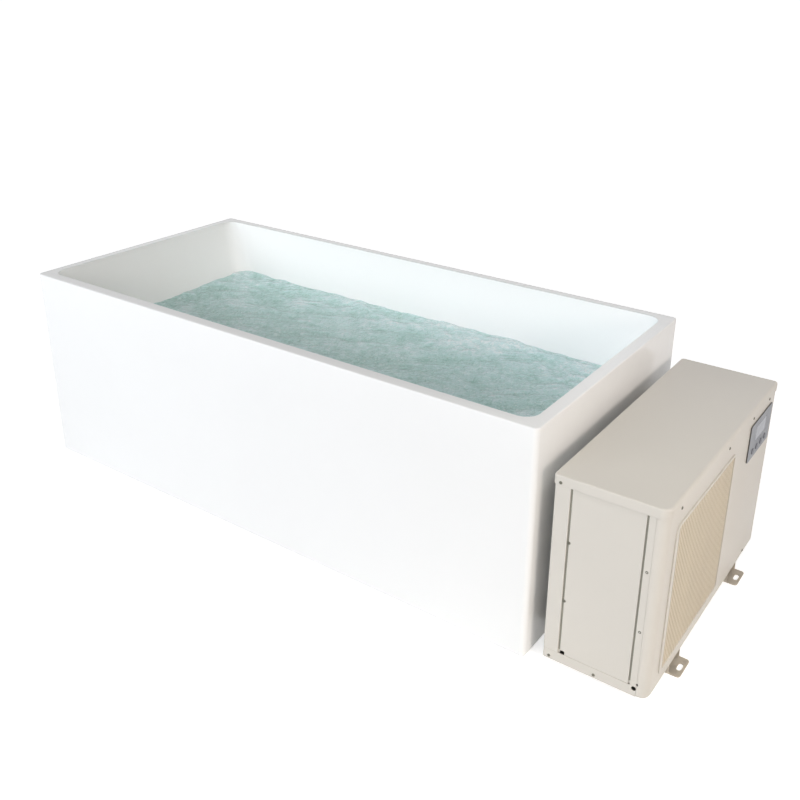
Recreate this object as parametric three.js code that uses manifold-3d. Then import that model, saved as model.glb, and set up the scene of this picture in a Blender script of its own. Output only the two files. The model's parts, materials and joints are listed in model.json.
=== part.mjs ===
// A cold plunge tub and the water chiller that stands beside its right end.
// Millimetres, +Z up, +X along the tub towards the chiller, +Y towards the back.
// The origin is on the floor, in the middle of the box round the whole assembly.
import * as THREE from 'three';
import { mergeVertices } from 'three/addons/utils/BufferGeometryUtils.js';
import Module from 'manifold-3d';

const wasm = await Module();
wasm.setup();

// Fits and facets
const FIT = 0.3; // gap between two pieces that seat on each other
const CUT = 1; // how far a cutter runs past the face that it opens
const SINK = 2; // how far a joined stub reaches into its body
const SHOULDER = 0.8; // a rounded end's flat as a share of its radius
const PIPE_SIDES = 6;
const HOSE_SIDES = 10;
const NUT_SIDES = 8;
const CORNER_STEPS = 4; // facets in a quarter of a rounded corner
const ROUND_STEPS = 12; // facets round a small turned piece
const WIDE_ROUND_STEPS = 20; // facets round a large turned piece

// Tub shells
const TUB_LENGTH = 1700;
const TUB_WIDTH = 800;
const TUB_HEIGHT = 600;
const TUB_CORNER = 13;
const RIM_WIDTH = 28;
const RIM_THICKNESS = 10;
const RIM_EDGE = 3.5;
const RIM_CORNER = 40;
const END_SLOPE_DEG = 17.5;
const SIDE_SLOPE_DEG = 2.5;
const BASIN_FLOOR = 130;
const FLOOR_FILLET = 60;
const FLOOR_CORNER = 90;
const SHELL_WALL = 7;
const SKIRT_WALL = 5;
const SKIRT_LIFT = 4;
const SKIRT_EDGE = 6;

// Tub underframe
const BOARD_THICKNESS = 18;
const BOARD_MARGIN = 15;
const BAR_COUNT = 3;
const BAR_INSET = 119; // from the board's end to the end bar
const BAR_WIDTH = 40;
const BAR_HEIGHT = 25;
const BAR_WALL = 2.5;
const BAR_OVERHANG = 15;
const FOOT_INSET = 50; // from a bar's end to its foot
const FOOT_RADIUS = 30;
const FOOT_PAD = 6;
const FOOT_CONE = 9;
const STUD_RADIUS = 6;
const STUD_REACH = 15; // above the bar's web
const COLLAR_RADIUS = 12;
const COLLAR_HEIGHT = 8;

// Waste in the basin floor
const WASTE_FLANGE_RADIUS = 36;
const WASTE_FLANGE = 4;
const WASTE_RADIUS = 23;
const WASTE_BORE = 19;
const WASTE_REACH = 30; // below the base board
const WASTE_NUT_RADIUS = 32;
const WASTE_NUT = 12;
const WASTE_WEB = 4;
const PLUG_RADIUS = 27;
const PLUG_HEIGHT = 7;
const PLUG_STEM_RADIUS = 4;
const PLUG_STEM = 30;

// Water fittings in the back wall of the tub
const PORT_HEIGHT = 255;
const PORT_FROM_END = 153; // from the basin's end wall to the return fitting
const PORT_SPACING = 130;
const HATCH_MARGIN = 60; // from a fitting's axis to the edge of the hatch in the skirt
const HATCH_CORNER = 18;
const FITTING_FLANGE_RADIUS = 42;
const FITTING_FLANGE = 6;
const FITTING_RADIUS = 22;
const FITTING_BORE = 16;
const FITTING_PROUD = 6; // beyond the skirt
const FITTING_NUT_RADIUS = 34;
const FITTING_NUT = 12;
const GRATE_THICKNESS = 5;
const GRATE_SLOT = 5;
const GRATE_PITCH = 11;
const TAIL_COLLAR = 8;
const TAIL_BARBS = 3;
const BARB_PITCH = 9;
const BARB_RISE = 1.5;
const TAIL_SHANK = 14;
const TAIL_WALL = 3.5;

// Chiller cabinet
const CHILLER_GAP = 36; // from the tub's end to the cabinet
const CHILLER_SHIFT = -9; // cabinet's middle against the tub's middle, along Y
const CABINET_DEPTH = 258;
const GRILLE_SIZE = 388;
const GRILLE_LEFT = 55;
const GRILLE_ABOVE = 65;
const GRILLE_BELOW = 27;
const FAN_BAY_SPARE = 8; // grille's right edge to the partition
const MACHINE_BAY = 301;
const CABINET_CORNER = 24; // front corner beside the grille
const SMALL_CORNER = 8; // the other three corners
const CORNER_LAND = 4; // flat of the front panel beyond its rounded corner
const LID_HEIGHT = 24;
const LID_WALL = 2;
const LID_EDGE = 4;
const PANEL = 2;
const PAN_HEIGHT = 26;
const PAN_WALL = 2;
const FRONT_LIFT = 4; // front panel's lower edge above the pan's underside
const POST_WIDTH = 40;
const POST_RETURN = 40;
const STRIP_WIDTH = 15;
const GROOVE = 5;
const FOLD = 12; // width of a folded edge
const FLANGE = 20; // width of a post's flange behind the left end panel
const END_RECESS = 1;
const SLOT_WIDTH = 11;
const SLOT_HEIGHT = 9;
const RAIL_WIDTH = 70;
const RAIL_SPAN = 410;
const RAIL_HEIGHT = 22;
const RAIL_WALL = 3;
const RAIL_REACH = 24;
const RAIL_CORNER = 8;
const BOLT_SLOT_WIDTH = 11;
const BOLT_SLOT_LENGTH = 26;

// Grilles
const GRILLE_CORNER = 42;
const GRILLE_FRAME = 15;
const GRILLE_DEPTH = 9;
const RIB_COUNT = 31;
const RIB_WIDTH = 3.4;
const RIB_DROP = 2; // ribs stand this far behind the frame's face
const CROSS_COUNT = 2;
const CROSS_WIDTH = 5;
const CROSS_DEPTH = 3;
const GUARD_COLUMNS = 4;
const GUARD_ROWS = 5;
const GUARD_BAR = 5;

// Fan, motor and condenser
const FAN_RADIUS = 168;
const FAN_TIP_GAP = 9;
const OUTLET_CORNER = 110; // the air outlet is square, with large round corners
const HUB_RADIUS = 46;
const HUB_LENGTH = 46;
const BLADE_COUNT = 3;
const BLADE_CHORD = 128;
const BLADE_ROOT_PITCH_DEG = 34;
const BLADE_TIP_PITCH_DEG = 19;
const BLADE_THICKNESS = 3;
const BLADE_ROOT_SHARE = 0.6; // root chord as a share of the tip chord
const BLADE_SWEEP = 0.35; // radians from root to tip
const BLADE_CAMBER = 0.03; // share of the chord
const BLADE_STATIONS = 5; // sections from the hub's skin to the tip
const SHAFT_RADIUS = 5;
const MOTOR_RADIUS = 52;
const MOTOR_LENGTH = 60;
const MOTOR_TO_HUB = 8;
const BRACKET_WIDTH = 150;
const BRACKET_STILE = 22;
const BRACKET_WALL = 3;
const COIL_GAP = 6;
const COIL_DEPTH = 22;
const COIL_TOP_GAP = 8;
const COIL_TO_BRACKET = 58;
const COIL_OVERLAP = 14; // coil's end past the partition
const BEND_COUNT = 4;
const BEND_RADIUS = 11;
const TUBE_RADIUS = 4;

// Refrigerant side
const COMPRESSOR_RADIUS = 55;
const COMPRESSOR_HEIGHT = 236;
const COMPRESSOR_DOME = 34;
const COMPRESSOR_BACK_GAP = 30;
const COMPRESSOR_SIDE_GAP = 26;
const ACCUMULATOR_RADIUS = 24;
const ACCUMULATOR_HEIGHT = 150;
const ACCUMULATOR_GAP = 8;
const PAD_THICKNESS = 9;
const EAR_RADIUS = 14;
const EAR_REACH = 66;
const PLATE_THICKNESS = 3;
const STUB = 14; // straight end of a pipe connection
const PIPE_RISE = 36;
const PIPE_BEND = 16;
const DRIER_RADIUS = 11;
const DRIER_LENGTH = 60;

// Water side
const TANK_RADIUS = 42;
const TANK_HEIGHT = 300;
const TANK_DOME = 16;
const TANK_GAP = 24;
const NOZZLE_RADIUS = 11;
const NOZZLE = 22;
const HOSE_WALL = 3;
const HOSE_END_GAP = 4;
const OUTLET_HEIGHT = 395;
const PUMP_HEIGHT = 92;
const PUMP_RADIUS = 40;
const PUMP_LENGTH = 34;
const PUMP_WALL = 6;
const PUMP_FRONT_GAP = 12;
const IMPELLER_RADIUS = 29;
const IMPELLER_LENGTH = 12;
const VANE_COUNT = 6;
const VANE_WIDTH = 3;
const PUMP_MOTOR_RADIUS = 36;
const PUMP_MOTOR_LENGTH = 92;
const PUMP_SHAFT_RADIUS = 4;
const PUMP_FOOT_WIDTH = 50;
const OUTLET_OFFSET = 22; // pump outlet above the pump's axis
const PORT_FLANGE_RADIUS = 24;
const PORT_FLANGE = 5;
const PORT_THREAD_RADIUS = 16;
const PORT_THREAD = 34;
const PORT_BORE = 8;
const GLAND_HEIGHT = 330;
const GLAND_X = 40;
const GLAND_RADIUS = 9;
const GLAND_BORE = 4;
const GLAND_REACH = 18;

// Controls
const KEYPAD_WIDTH = 176;
const KEYPAD_HEIGHT = 102;
const KEYPAD_CORNER = 6;
const KEYPAD_FROM_RIGHT = 30;
const KEYPAD_FROM_TOP = 46;
const KEYPAD_FLANGE = 3;
const KEYPAD_LIP = 6;
const KEYPAD_BODY = 9;
const WINDOW_WIDTH = 84;
const WINDOW_HEIGHT = 40;
const WINDOW_THICKNESS = 2;
const WINDOW_FROM_TOP = 18;
const BUTTON_COUNT = 4;
const BUTTON_RADIUS = 8;
const BUTTON_PITCH = 34;
const BUTTON_FROM_BOTTOM = 20;
const BUTTON_PROUD = 2;
const BUTTON_FLANGE = 1.5;
const BUTTON_FLANGE_RADIUS = 10;
const BOX_DEPTH = 44;
const BOX_HEIGHT = 118;
const BOX_TOP_GAP = 14;
const BOX_FRONT_GAP = 22; // behind the front panel, clear of the keypad

// Finishes
const WHITE_SHELL = finish(0xf6f6f4, 0.18);
const FOAM = finish(0xe6d9a8, 0.95);
const BOARD = finish(0xb59a6d, 0.85);
const GALVANISED = finish(0xa9adb0, 0.45, 0.8);
const STEEL = finish(0xc4c7ca, 0.3, 0.9);
const BLACK_PLASTIC = finish(0x1e1f21, 0.55);
const GREY_PLASTIC = finish(0x8d9096, 0.5);
const CREAM_PAINT = finish(0xdcd6c8, 0.45);
const CREAM_PLASTIC = finish(0xdccfae, 0.5);
const KEYPAD_PLASTIC = finish(0xa9acb8, 0.4);
const DISPLAY_FILM = finish(0xc3c5d2, 0.15);
const COPPER = finish(0xb8714a, 0.35, 0.9);
const FIN_ALUMINIUM = finish(0xbfc3c6, 0.5, 0.8);
const BLACK_PAINT = finish(0x17181a, 0.4);
const RUBBER = finish(0x232323, 0.9);

// Sizes worked out from the driving dimensions
const rad = THREE.MathUtils.degToRad;
const endRun = Math.tan(rad(END_SLOPE_DEG));
const sideRun = Math.tan(rad(SIDE_SLOPE_DEG));
const rimUnderside = TUB_HEIGHT - RIM_THICKNESS;
const boardTop = BASIN_FLOOR - SHELL_WALL;
const boardBottom = boardTop - BOARD_THICKNESS;
const webBottom = boardBottom - BAR_HEIGHT;

const cabinetLength = GRILLE_LEFT + GRILLE_SIZE + FAN_BAY_SPARE + MACHINE_BAY;
const cabinetHeight = GRILLE_ABOVE + GRILLE_SIZE + GRILLE_BELOW;
const back = -CABINET_DEPTH / 2;
const front = CABINET_DEPTH / 2;
const left = -cabinetLength / 2;
const right = cabinetLength / 2;
const panBottom = RAIL_HEIGHT;
const panFloor = panBottom + PAN_WALL;
const panRim = panBottom + PAN_HEIGHT;
const top = panBottom + cabinetHeight;
const skin = LID_WALL + FIT; // panels sit this far inside the lid's outline
const panelFoot = panRim + FIT;
const panelTop = top - LID_WALL - FIT;
const faceX = front - skin; // outside of the front panel
const returnX = front - CABINET_CORNER - CORNER_LAND; // edge of the front panel on the cabinet's ends
const fanY = left + GRILLE_LEFT + GRILLE_SIZE / 2;
const fanZ = top - GRILLE_ABOVE - GRILLE_SIZE / 2;
const partitionY = right - MACHINE_BAY;
const coilBack = back + skin + PANEL + COIL_GAP;
const coilX = coilBack + COIL_DEPTH / 2;
const coilFront = coilBack + COIL_DEPTH;
const coilEnd = partitionY + COIL_OVERLAP;
const coilTop = panelTop - COIL_TOP_GAP;
const bracketX = coilFront + COIL_TO_BRACKET;
const motorBack = bracketX + BRACKET_WALL + FIT;
const motorFront = motorBack + MOTOR_LENGTH;
const hubBack = motorFront + MOTOR_TO_HUB;
const endWall = right - skin - PANEL; // inside of the right end panel
const compressorX = back + skin + PANEL + COMPRESSOR_BACK_GAP + COMPRESSOR_RADIUS;
const compressorY = partitionY + PANEL + COMPRESSOR_SIDE_GAP + COMPRESSOR_RADIUS;
const plateBottom = panFloor + 2 * FIT + PAD_THICKNESS;
const compressorTop = plateBottom + PLATE_THICKNESS + COMPRESSOR_HEIGHT;
const accumulatorX = compressorX + COMPRESSOR_RADIUS + ACCUMULATOR_GAP + ACCUMULATOR_RADIUS;
const accumulatorTop = compressorTop - COMPRESSOR_DOME;
const tankX = back + skin + PANEL + COMPRESSOR_BACK_GAP + TANK_RADIUS;
const tankY = endWall - TANK_GAP - TANK_RADIUS;
const tankTop = panFloor + FIT + TANK_HEIGHT;
const pumpX = faceX - PANEL - PUMP_FRONT_GAP - PUMP_RADIUS;
const pumpFace = tankY + PUMP_LENGTH / 2; // the pump's outlet lines up with the tank
const keypadY = right - KEYPAD_FROM_RIGHT - KEYPAD_WIDTH / 2;
const keypadZ = top - KEYPAD_FROM_TOP - KEYPAD_HEIGHT / 2;

function finish(color, roughness, metalness = 0) {
  return new THREE.MeshStandardMaterial({ color, roughness, metalness });
}

// A closed geometry as a solid. Faces that collapse on an axis are dropped, and the skin is turned outwards.
function solid(geometry) {
  const bare = geometry.clone();
  bare.deleteAttribute('normal');
  bare.deleteAttribute('uv');
  const merged = mergeVertices(bare, 1e-4);
  const points = merged.attributes.position;
  const [a, b, c] = [new THREE.Vector3(), new THREE.Vector3(), new THREE.Vector3()];
  const corners = [];
  let volume = 0;
  for (let i = 0; i < merged.index.count; i += 3) {
    const [p, q, r] = merged.index.array.slice(i, i + 3);
    if (p === q || q === r || r === p) continue;
    corners.push([p, q, r]);
    a.fromBufferAttribute(points, p);
    b.fromBufferAttribute(points, q);
    c.fromBufferAttribute(points, r);
    volume += a.dot(b.cross(c));
  }
  const triVerts = new Uint32Array(corners.flatMap((t) => (volume < 0 ? [t[0], t[2], t[1]] : t)));
  const vertProperties = new Float32Array(points.array);
  return new wasm.Manifold(new wasm.Mesh({ numProp: 3, vertProperties, triVerts }));
}

function geometryOf(manifold) {
  const made = manifold.getMesh();
  const geometry = new THREE.BufferGeometry();
  geometry.setAttribute('position', new THREE.BufferAttribute(made.vertProperties, 3));
  geometry.setIndex(new THREE.BufferAttribute(made.triVerts, 1));
  return geometry.toNonIndexed();
}

function addPiece(group, name, shape, material) {
  const flat = geometryOf(shape);
  flat.computeVertexNormals();
  const mesh = new THREE.Mesh(flat, material);
  mesh.name = name;
  group.add(mesh);
}

function joined(solids) {
  return solids.reduce((sum, next) => sum.add(next));
}

function block(x0, x1, y0, y1, z0, z1) {
  const box = new THREE.BoxGeometry(x1 - x0, y1 - y0, z1 - z0);
  return solid(box.translate((x0 + x1) / 2, (y0 + y1) / 2, (z0 + z1) / 2));
}

// A closed skin over rings with equal numbers of points: capped at its ends, or joined up as a loop.
function loft(rings, loop = false) {
  const count = rings[0].length;
  const vertices = rings.flat();
  const faces = [];
  const spans = loop ? rings.length : rings.length - 1;
  for (let r = 0; r < spans; r++) {
    const near = r * count;
    const far = ((r + 1) % rings.length) * count;
    for (let i = 0; i < count; i++) {
      const j = (i + 1) % count;
      faces.push(near + i, near + j, far + j, near + i, far + j, far + i);
    }
  }
  if (!loop) {
    const start = (rings.length - 1) * count;
    for (const [base, ring, turn] of [[0, rings[0], 1], [start, rings[rings.length - 1], 0]]) {
      const middle = vertices.length;
      const sum = ring.reduce((total, p) => total.add(p), new THREE.Vector3());
      vertices.push(sum.divideScalar(count));
      for (let i = 0; i < count; i++) {
        const j = (i + 1) % count;
        faces.push(middle, base + (turn ? j : i), base + (turn ? i : j));
      }
    }
  }
  const geometry = new THREE.BufferGeometry().setFromPoints(vertices);
  geometry.setIndex(faces);
  return solid(geometry);
}

// A piece turned about +Z from [radius, height] pairs.
function turned(profile, steps = ROUND_STEPS) {
  const points = profile.map(([radius, height]) => new THREE.Vector2(radius, height));
  return new THREE.LatheGeometry(points, steps).rotateX(Math.PI / 2);
}

// A turned ring, whose profile closes on itself.
function ring(inner, outer, z0, z1, steps = ROUND_STEPS) {
  return turned([[inner, z0], [outer, z0], [outer, z1], [inner, z1], [inner, z0]], steps);
}

// A ring nut with flats, bored to the facets of the thread that it fits.
function nut(bore, outer, z0, z1, steps = ROUND_STEPS) {
  return solid(rod(outer, z0, z1, NUT_SIDES)).subtract(solid(rod(bore, z0 - CUT, z1 + CUT, steps)));
}

// The corner radius of a faceted hole whose flats clear a piece of any facets.
function holeRound(radius, steps) {
  return (radius + FIT) / Math.cos(Math.PI / steps);
}

function rod(radius, z0, z1, steps = ROUND_STEPS) {
  return turned([[0, z0], [radius, z0], [radius, z1], [0, z1]], steps);
}

function alongX(geometry) {
  return geometry.rotateY(Math.PI / 2);
}

function alongY(geometry) {
  return geometry.rotateX(-Math.PI / 2);
}

// A rounded rectangle at height z, with one radius for all corners.
function roundedRing(halfX, halfY, radius, z) {
  return cornerRing([[1, 1], [-1, 1], [-1, -1], [1, -1]].map(([sx, sy]) => ({
    x: sx * (halfX - radius),
    y: sy * (halfY - radius),
    radius,
  })), z);
}

// A ring of quarter arcs about four corner centres, anticlockwise from +X +Y.
function cornerRing(corners, z) {
  return corners.flatMap(({ x, y, radius }, quarter) => arc(x, y, radius, quarter * 90, quarter * 90 + 90)
    .map((p) => new THREE.Vector3(p.x, p.y, z)));
}

function arc(x, y, radius, fromDeg, toDeg, steps = CORNER_STEPS) {
  return Array.from({ length: steps + 1 }, (_, i) => {
    const angle = rad(fromDeg + ((toDeg - fromDeg) * i) / steps);
    return new THREE.Vector2(x + radius * Math.cos(angle), y + radius * Math.sin(angle));
  });
}

function roundedShape(width, height, radius) {
  const ringPoints = roundedRing(width / 2, height / 2, radius, 0);
  return new THREE.Shape(ringPoints.map((p) => new THREE.Vector2(p.x, p.y)));
}

function prism(shape, z0, z1) {
  const options = { depth: z1 - z0, bevelEnabled: false, curveSegments: 1 };
  return new THREE.ExtrudeGeometry(shape, options).translate(0, 0, z0);
}

// Turns a prism drawn in a (Y, Z) plane so that its depth runs along +X.
const facingFront = new THREE.Matrix4().makeBasis(
  new THREE.Vector3(0, 1, 0), new THREE.Vector3(0, 0, 1), new THREE.Vector3(1, 0, 0));

function frontPrism(shape, x0, x1) {
  return prism(shape, x0, x1).applyMatrix4(facingFront);
}

// Moves each point of an outline sideways, to the left of its direction of travel.
function offset(path, distance, closed) {
  return path.map((p, i) => {
    const before = path[i - 1] ?? (closed ? path[path.length - 1] : null);
    const after = path[i + 1] ?? (closed ? path[0] : null);
    const normals = [];
    if (before) normals.push(point(before.y - p.y, p.x - before.x).normalize());
    if (after) normals.push(point(p.y - after.y, after.x - p.x).normalize());
    const bisector = normals.reduce((sum, n) => sum.add(n), point(0, 0)).normalize();
    return p.clone().addScaledVector(bisector, distance / bisector.dot(normals[0]));
  });
}

// The outline of a bent sheet whose outer face follows the path, with its thickness to the left.
function sheet(path, z0, z1) {
  const inner = offset(path, PANEL, false).reverse();
  return solid(prism(new THREE.Shape([...path, ...inner]), z0, z1));
}

function point(x, y) {
  return new THREE.Vector2(x, y);
}

// A pipe along straight runs with rounded bends.
function pipe(stops, radius, sides = PIPE_SIDES, bend = PIPE_BEND) {
  const track = bentTrack(stops, bend);
  const start = track[1].clone().sub(track[0]).normalize();
  const side = Math.abs(start.z) > 0.9 ? new THREE.Vector3(1, 0, 0) : new THREE.Vector3(0, 0, 1);
  side.addScaledVector(start, -side.dot(start)).normalize();
  const rings = track.map((p, i) => {
    const forward = (track[i + 1] ?? p).clone().sub(track[i - 1] ?? p).normalize();
    side.addScaledVector(forward, -side.dot(forward)).normalize();
    const across = new THREE.Vector3().crossVectors(forward, side);
    return Array.from({ length: sides }, (_, k) => {
      const angle = (2 * Math.PI * k) / sides;
      const lifted = p.clone().addScaledVector(side, radius * Math.cos(angle));
      return lifted.addScaledVector(across, radius * Math.sin(angle));
    });
  });
  return loft(rings);
}

// Replaces each inner stop by a short curve that is tangent to both runs.
function bentTrack(stops, bend) {
  const track = [stops[0]];
  for (let i = 1; i < stops.length - 1; i++) {
    const before = stops[i - 1].clone().sub(stops[i]);
    const after = stops[i + 1].clone().sub(stops[i]);
    const reach = Math.min(bend, before.length() / 2.2, after.length() / 2.2);
    const curve = new THREE.QuadraticBezierCurve3(
      stops[i].clone().addScaledVector(before.normalize(), reach),
      stops[i],
      stops[i].clone().addScaledVector(after.normalize(), reach));
    track.push(...curve.getPoints(3));
  }
  track.push(stops[stops.length - 1]);
  return track;
}

function at(x, y, z) {
  return new THREE.Vector3(x, y, z);
}

// Half sizes of the basin's inside at height z, before the floor's fillet.
function basinHalf(z) {
  const depth = TUB_HEIGHT - z;
  return [TUB_LENGTH / 2 - RIM_WIDTH - depth * endRun, TUB_WIDTH / 2 - RIM_WIDTH - depth * sideRun];
}

// A ring on the basin's wall, grown outwards by a wall thickness.
function basinRing(z, grow, inset = 0, ringZ = z) {
  const [halfX, halfY] = basinHalf(z);
  const share = (TUB_HEIGHT - z) / (TUB_HEIGHT - BASIN_FLOOR);
  const radius = RIM_CORNER + (FLOOR_CORNER - RIM_CORNER) * share + (grow - inset) / 2;
  return roundedRing(halfX + grow - inset, halfY + grow - inset, radius, ringZ);
}

// Rings round the floor's fillet, from the floor up to the wall.
function filletRings(grow) {
  return [0, 30, 60, 90].map((deg) => {
    const [lean, rise] = [Math.sin(rad(deg)), Math.cos(rad(deg))];
    const wallZ = BASIN_FLOOR + FLOOR_FILLET * (1 - rise);
    const ringZ = BASIN_FLOOR + FLOOR_FILLET - (FLOOR_FILLET + grow) * rise;
    return basinRing(wallZ, 0, FLOOR_FILLET - (FLOOR_FILLET + grow) * lean, ringZ);
  });
}

function outerRing(inset, z) {
  return roundedRing(TUB_LENGTH / 2 - inset, TUB_WIDTH / 2 - inset, TUB_CORNER - inset, z);
}

// Rounds an edge in steps: [inset, drop] pairs from the side to the top.
function edgeSteps(radius) {
  return [0, 45, 90].map((deg) => [radius * (1 - Math.cos(rad(deg))), radius * (1 - Math.sin(rad(deg)))]);
}

// Places a back-wall fitting: +Z leaves the basin square to its leaning wall.
function portPlace(x) {
  const outwards = at(0, Math.cos(rad(SIDE_SLOPE_DEG)), -Math.sin(rad(SIDE_SLOPE_DEG)));
  const across = at(1, 0, 0);
  const place = new THREE.Matrix4().makeBasis(across, at(0, 0, 0).crossVectors(outwards, across), outwards);
  return place.setPosition(x, basinHalf(PORT_HEIGHT)[1], PORT_HEIGHT);
}

const returnPortX = basinHalf(PORT_HEIGHT)[0] - PORT_FROM_END;
const portXs = [returnPortX - PORT_SPACING, returnPortX];
const skirtReach = (TUB_WIDTH / 2 - basinHalf(PORT_HEIGHT)[1]) / Math.cos(rad(SIDE_SLOPE_DEG));
const fittingEnd = skirtReach + FITTING_PROUD;

function portCut(shape, radius) {
  const end = fittingEnd + FITTING_PROUD;
  const cutters = portXs.map((x) => rod(radius, -end, end).applyMatrix4(portPlace(x)));
  return shape.subtract(joined(cutters.map(solid)));
}

// Cuts one hatch in the skirt's back wall, round both hose tails.
function hatchCutter() {
  const shape = roundedShape(PORT_SPACING + 2 * HATCH_MARGIN, 2 * HATCH_MARGIN, HATCH_CORNER);
  const wall = TUB_WIDTH / 2;
  const through = alongY(prism(shape, wall - 2 * SKIRT_WALL, wall + SKIRT_WALL));
  const height = PORT_HEIGHT - skirtReach * Math.sin(rad(SIDE_SLOPE_DEG));
  return solid(through.translate(returnPortX - PORT_SPACING / 2, 0, height));
}

function drainRod(radius) {
  return solid(rod(radius, 0, TUB_HEIGHT, WIDE_ROUND_STEPS).translate(drainX, 0, 0));
}

function makeBasin() {
  const rims = edgeSteps(RIM_EDGE);
  const shell = loft([
    ...filletRings(0),
    ...rims.map(([inset, drop]) => basinRing(TUB_HEIGHT, inset, 0, TUB_HEIGHT - drop)),
    ...rims.reverse().map(([inset, drop]) => outerRing(inset, TUB_HEIGHT - drop)),
    outerRing(0, rimUnderside),
    basinRing(rimUnderside, SHELL_WALL),
    ...filletRings(SHELL_WALL).reverse(),
  ]);
  return portCut(shell, FITTING_RADIUS + FIT).subtract(drainRod(WASTE_RADIUS + FIT));
}

function makeSkirt() {
  const steps = edgeSteps(SKIRT_EDGE).reverse();
  const walls = loft([
    outerRing(SKIRT_EDGE + SKIRT_WALL, SKIRT_LIFT),
    ...steps.map(([inset, drop]) => outerRing(inset, SKIRT_LIFT + drop)),
    outerRing(0, rimUnderside),
    outerRing(SKIRT_WALL, rimUnderside),
    outerRing(SKIRT_WALL, SKIRT_LIFT + SKIRT_EDGE + SKIRT_WALL),
  ], true);
  return walls.subtract(hatchCutter());
}

function makeJacket() {
  const low = BASIN_FLOOR + FLOOR_FILLET;
  const high = rimUnderside - FIT;
  const walls = loft([
    basinRing(low, SHELL_WALL + FIT),
    outerRing(SKIRT_WALL + FIT, low),
    outerRing(SKIRT_WALL + FIT, high),
    basinRing(high, SHELL_WALL + FIT),
  ], true);
  return portCut(walls, holeRound(FITTING_NUT_RADIUS, ROUND_STEPS));
}

const floorHalf = basinHalf(BASIN_FLOOR).map((half) => half - FLOOR_FILLET);
const boardHalf = floorHalf.map((half) => half - BOARD_MARGIN);
const barHalf = boardHalf[1] + BAR_OVERHANG;
const barPitch = (2 * (boardHalf[0] - BAR_INSET)) / (BAR_COUNT - 1);
const drainX = barPitch / 2; // between two bars
const footY = barHalf - FOOT_INSET;

function makeBoard() {
  const board = block(-boardHalf[0], boardHalf[0], -boardHalf[1], boardHalf[1], boardBottom, boardTop);
  return board.subtract(drainRod(holeRound(WASTE_NUT_RADIUS, WIDE_ROUND_STEPS)));
}

function makeBar(x) {
  const half = BAR_WIDTH / 2;
  const inside = half - BAR_WALL;
  const end = barHalf + CUT;
  const channel = block(x - half, x + half, -barHalf, barHalf, webBottom, boardBottom);
  const trough = block(x - inside, x + inside, -end, end, webBottom + BAR_WALL, boardBottom + CUT);
  const holes = [-1, 1].map((side) => rod(STUD_RADIUS + FIT, 0, boardBottom).translate(x, side * footY, 0));
  return channel.subtract(joined([trough, ...holes.map(solid)]));
}

function makeFoot() {
  const collarTop = webBottom - FIT;
  return solid(turned([
    [0, 0],
    [FOOT_RADIUS, 0],
    [FOOT_RADIUS, FOOT_PAD],
    [STUD_RADIUS, FOOT_PAD + FOOT_CONE],
    [STUD_RADIUS, collarTop - COLLAR_HEIGHT],
    [COLLAR_RADIUS, collarTop - COLLAR_HEIGHT],
    [COLLAR_RADIUS, collarTop],
    [STUD_RADIUS, collarTop],
    [STUD_RADIUS, webBottom + BAR_WALL + STUD_REACH],
    [0, webBottom + BAR_WALL + STUD_REACH],
  ]));
}

function makeWasteFlange() {
  const seat = BASIN_FLOOR + FIT;
  const tail = solid(turned([
    [WASTE_BORE, boardBottom - WASTE_REACH],
    [WASTE_RADIUS, boardBottom - WASTE_REACH],
    [WASTE_RADIUS, seat],
    [WASTE_FLANGE_RADIUS, seat],
    [WASTE_FLANGE_RADIUS - WASTE_FLANGE / 2, seat + WASTE_FLANGE],
    [WASTE_BORE, seat + WASTE_FLANGE],
    [WASTE_BORE, boardBottom - WASTE_REACH],
  ], WIDE_ROUND_STEPS));
  const reach = (WASTE_BORE + WASTE_RADIUS) / 2;
  const webZ = [seat - 2 * WASTE_FLANGE, seat - WASTE_FLANGE / 2];
  const webs = joined([
    block(-reach, reach, -WASTE_WEB / 2, WASTE_WEB / 2, ...webZ),
    block(-WASTE_WEB / 2, WASTE_WEB / 2, -reach, reach, ...webZ),
    solid(rod(PLUG_STEM_RADIUS + FIT + WASTE_WEB, webZ[0] - WASTE_WEB, webZ[1])),
  ]);
  const bush = solid(rod(PLUG_STEM_RADIUS + FIT, boardBottom - WASTE_REACH, seat + WASTE_FLANGE));
  return joined([tail, webs]).subtract(bush);
}

function makePlug() {
  const seat = BASIN_FLOOR + WASTE_FLANGE + 2 * FIT;
  return solid(turned([
    [0, seat - PLUG_STEM],
    [PLUG_STEM_RADIUS, seat - PLUG_STEM],
    [PLUG_STEM_RADIUS, seat],
    [PLUG_RADIUS, seat],
    [PLUG_RADIUS, seat + PLUG_HEIGHT / 3],
    [PLUG_RADIUS * SHOULDER, seat + PLUG_HEIGHT * SHOULDER],
    [0, seat + PLUG_HEIGHT],
  ], WIDE_ROUND_STEPS));
}

function buildWaste(group) {
  const waste = new THREE.Group();
  waste.position.x = drainX;
  addPiece(waste, 'waste_flange', makeWasteFlange(), STEEL);
  const nutTop = boardTop - FIT;
  const wasteNut = nut(WASTE_RADIUS + FIT, WASTE_NUT_RADIUS, nutTop - WASTE_NUT, nutTop, WIDE_ROUND_STEPS);
  addPiece(waste, 'waste_nut', wasteNut, BLACK_PLASTIC);
  addPiece(waste, 'drain_plug', makePlug(), STEEL);
  group.add(waste);
}

function makeFitting() {
  return solid(turned([
    [FITTING_BORE, -FIT - FITTING_FLANGE],
    [FITTING_FLANGE_RADIUS - FITTING_FLANGE / 2, -FIT - FITTING_FLANGE],
    [FITTING_FLANGE_RADIUS, -FIT],
    [FITTING_RADIUS, -FIT],
    [FITTING_RADIUS, fittingEnd],
    [FITTING_BORE, fittingEnd],
    [FITTING_BORE, -FIT - FITTING_FLANGE],
  ]));
}

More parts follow.
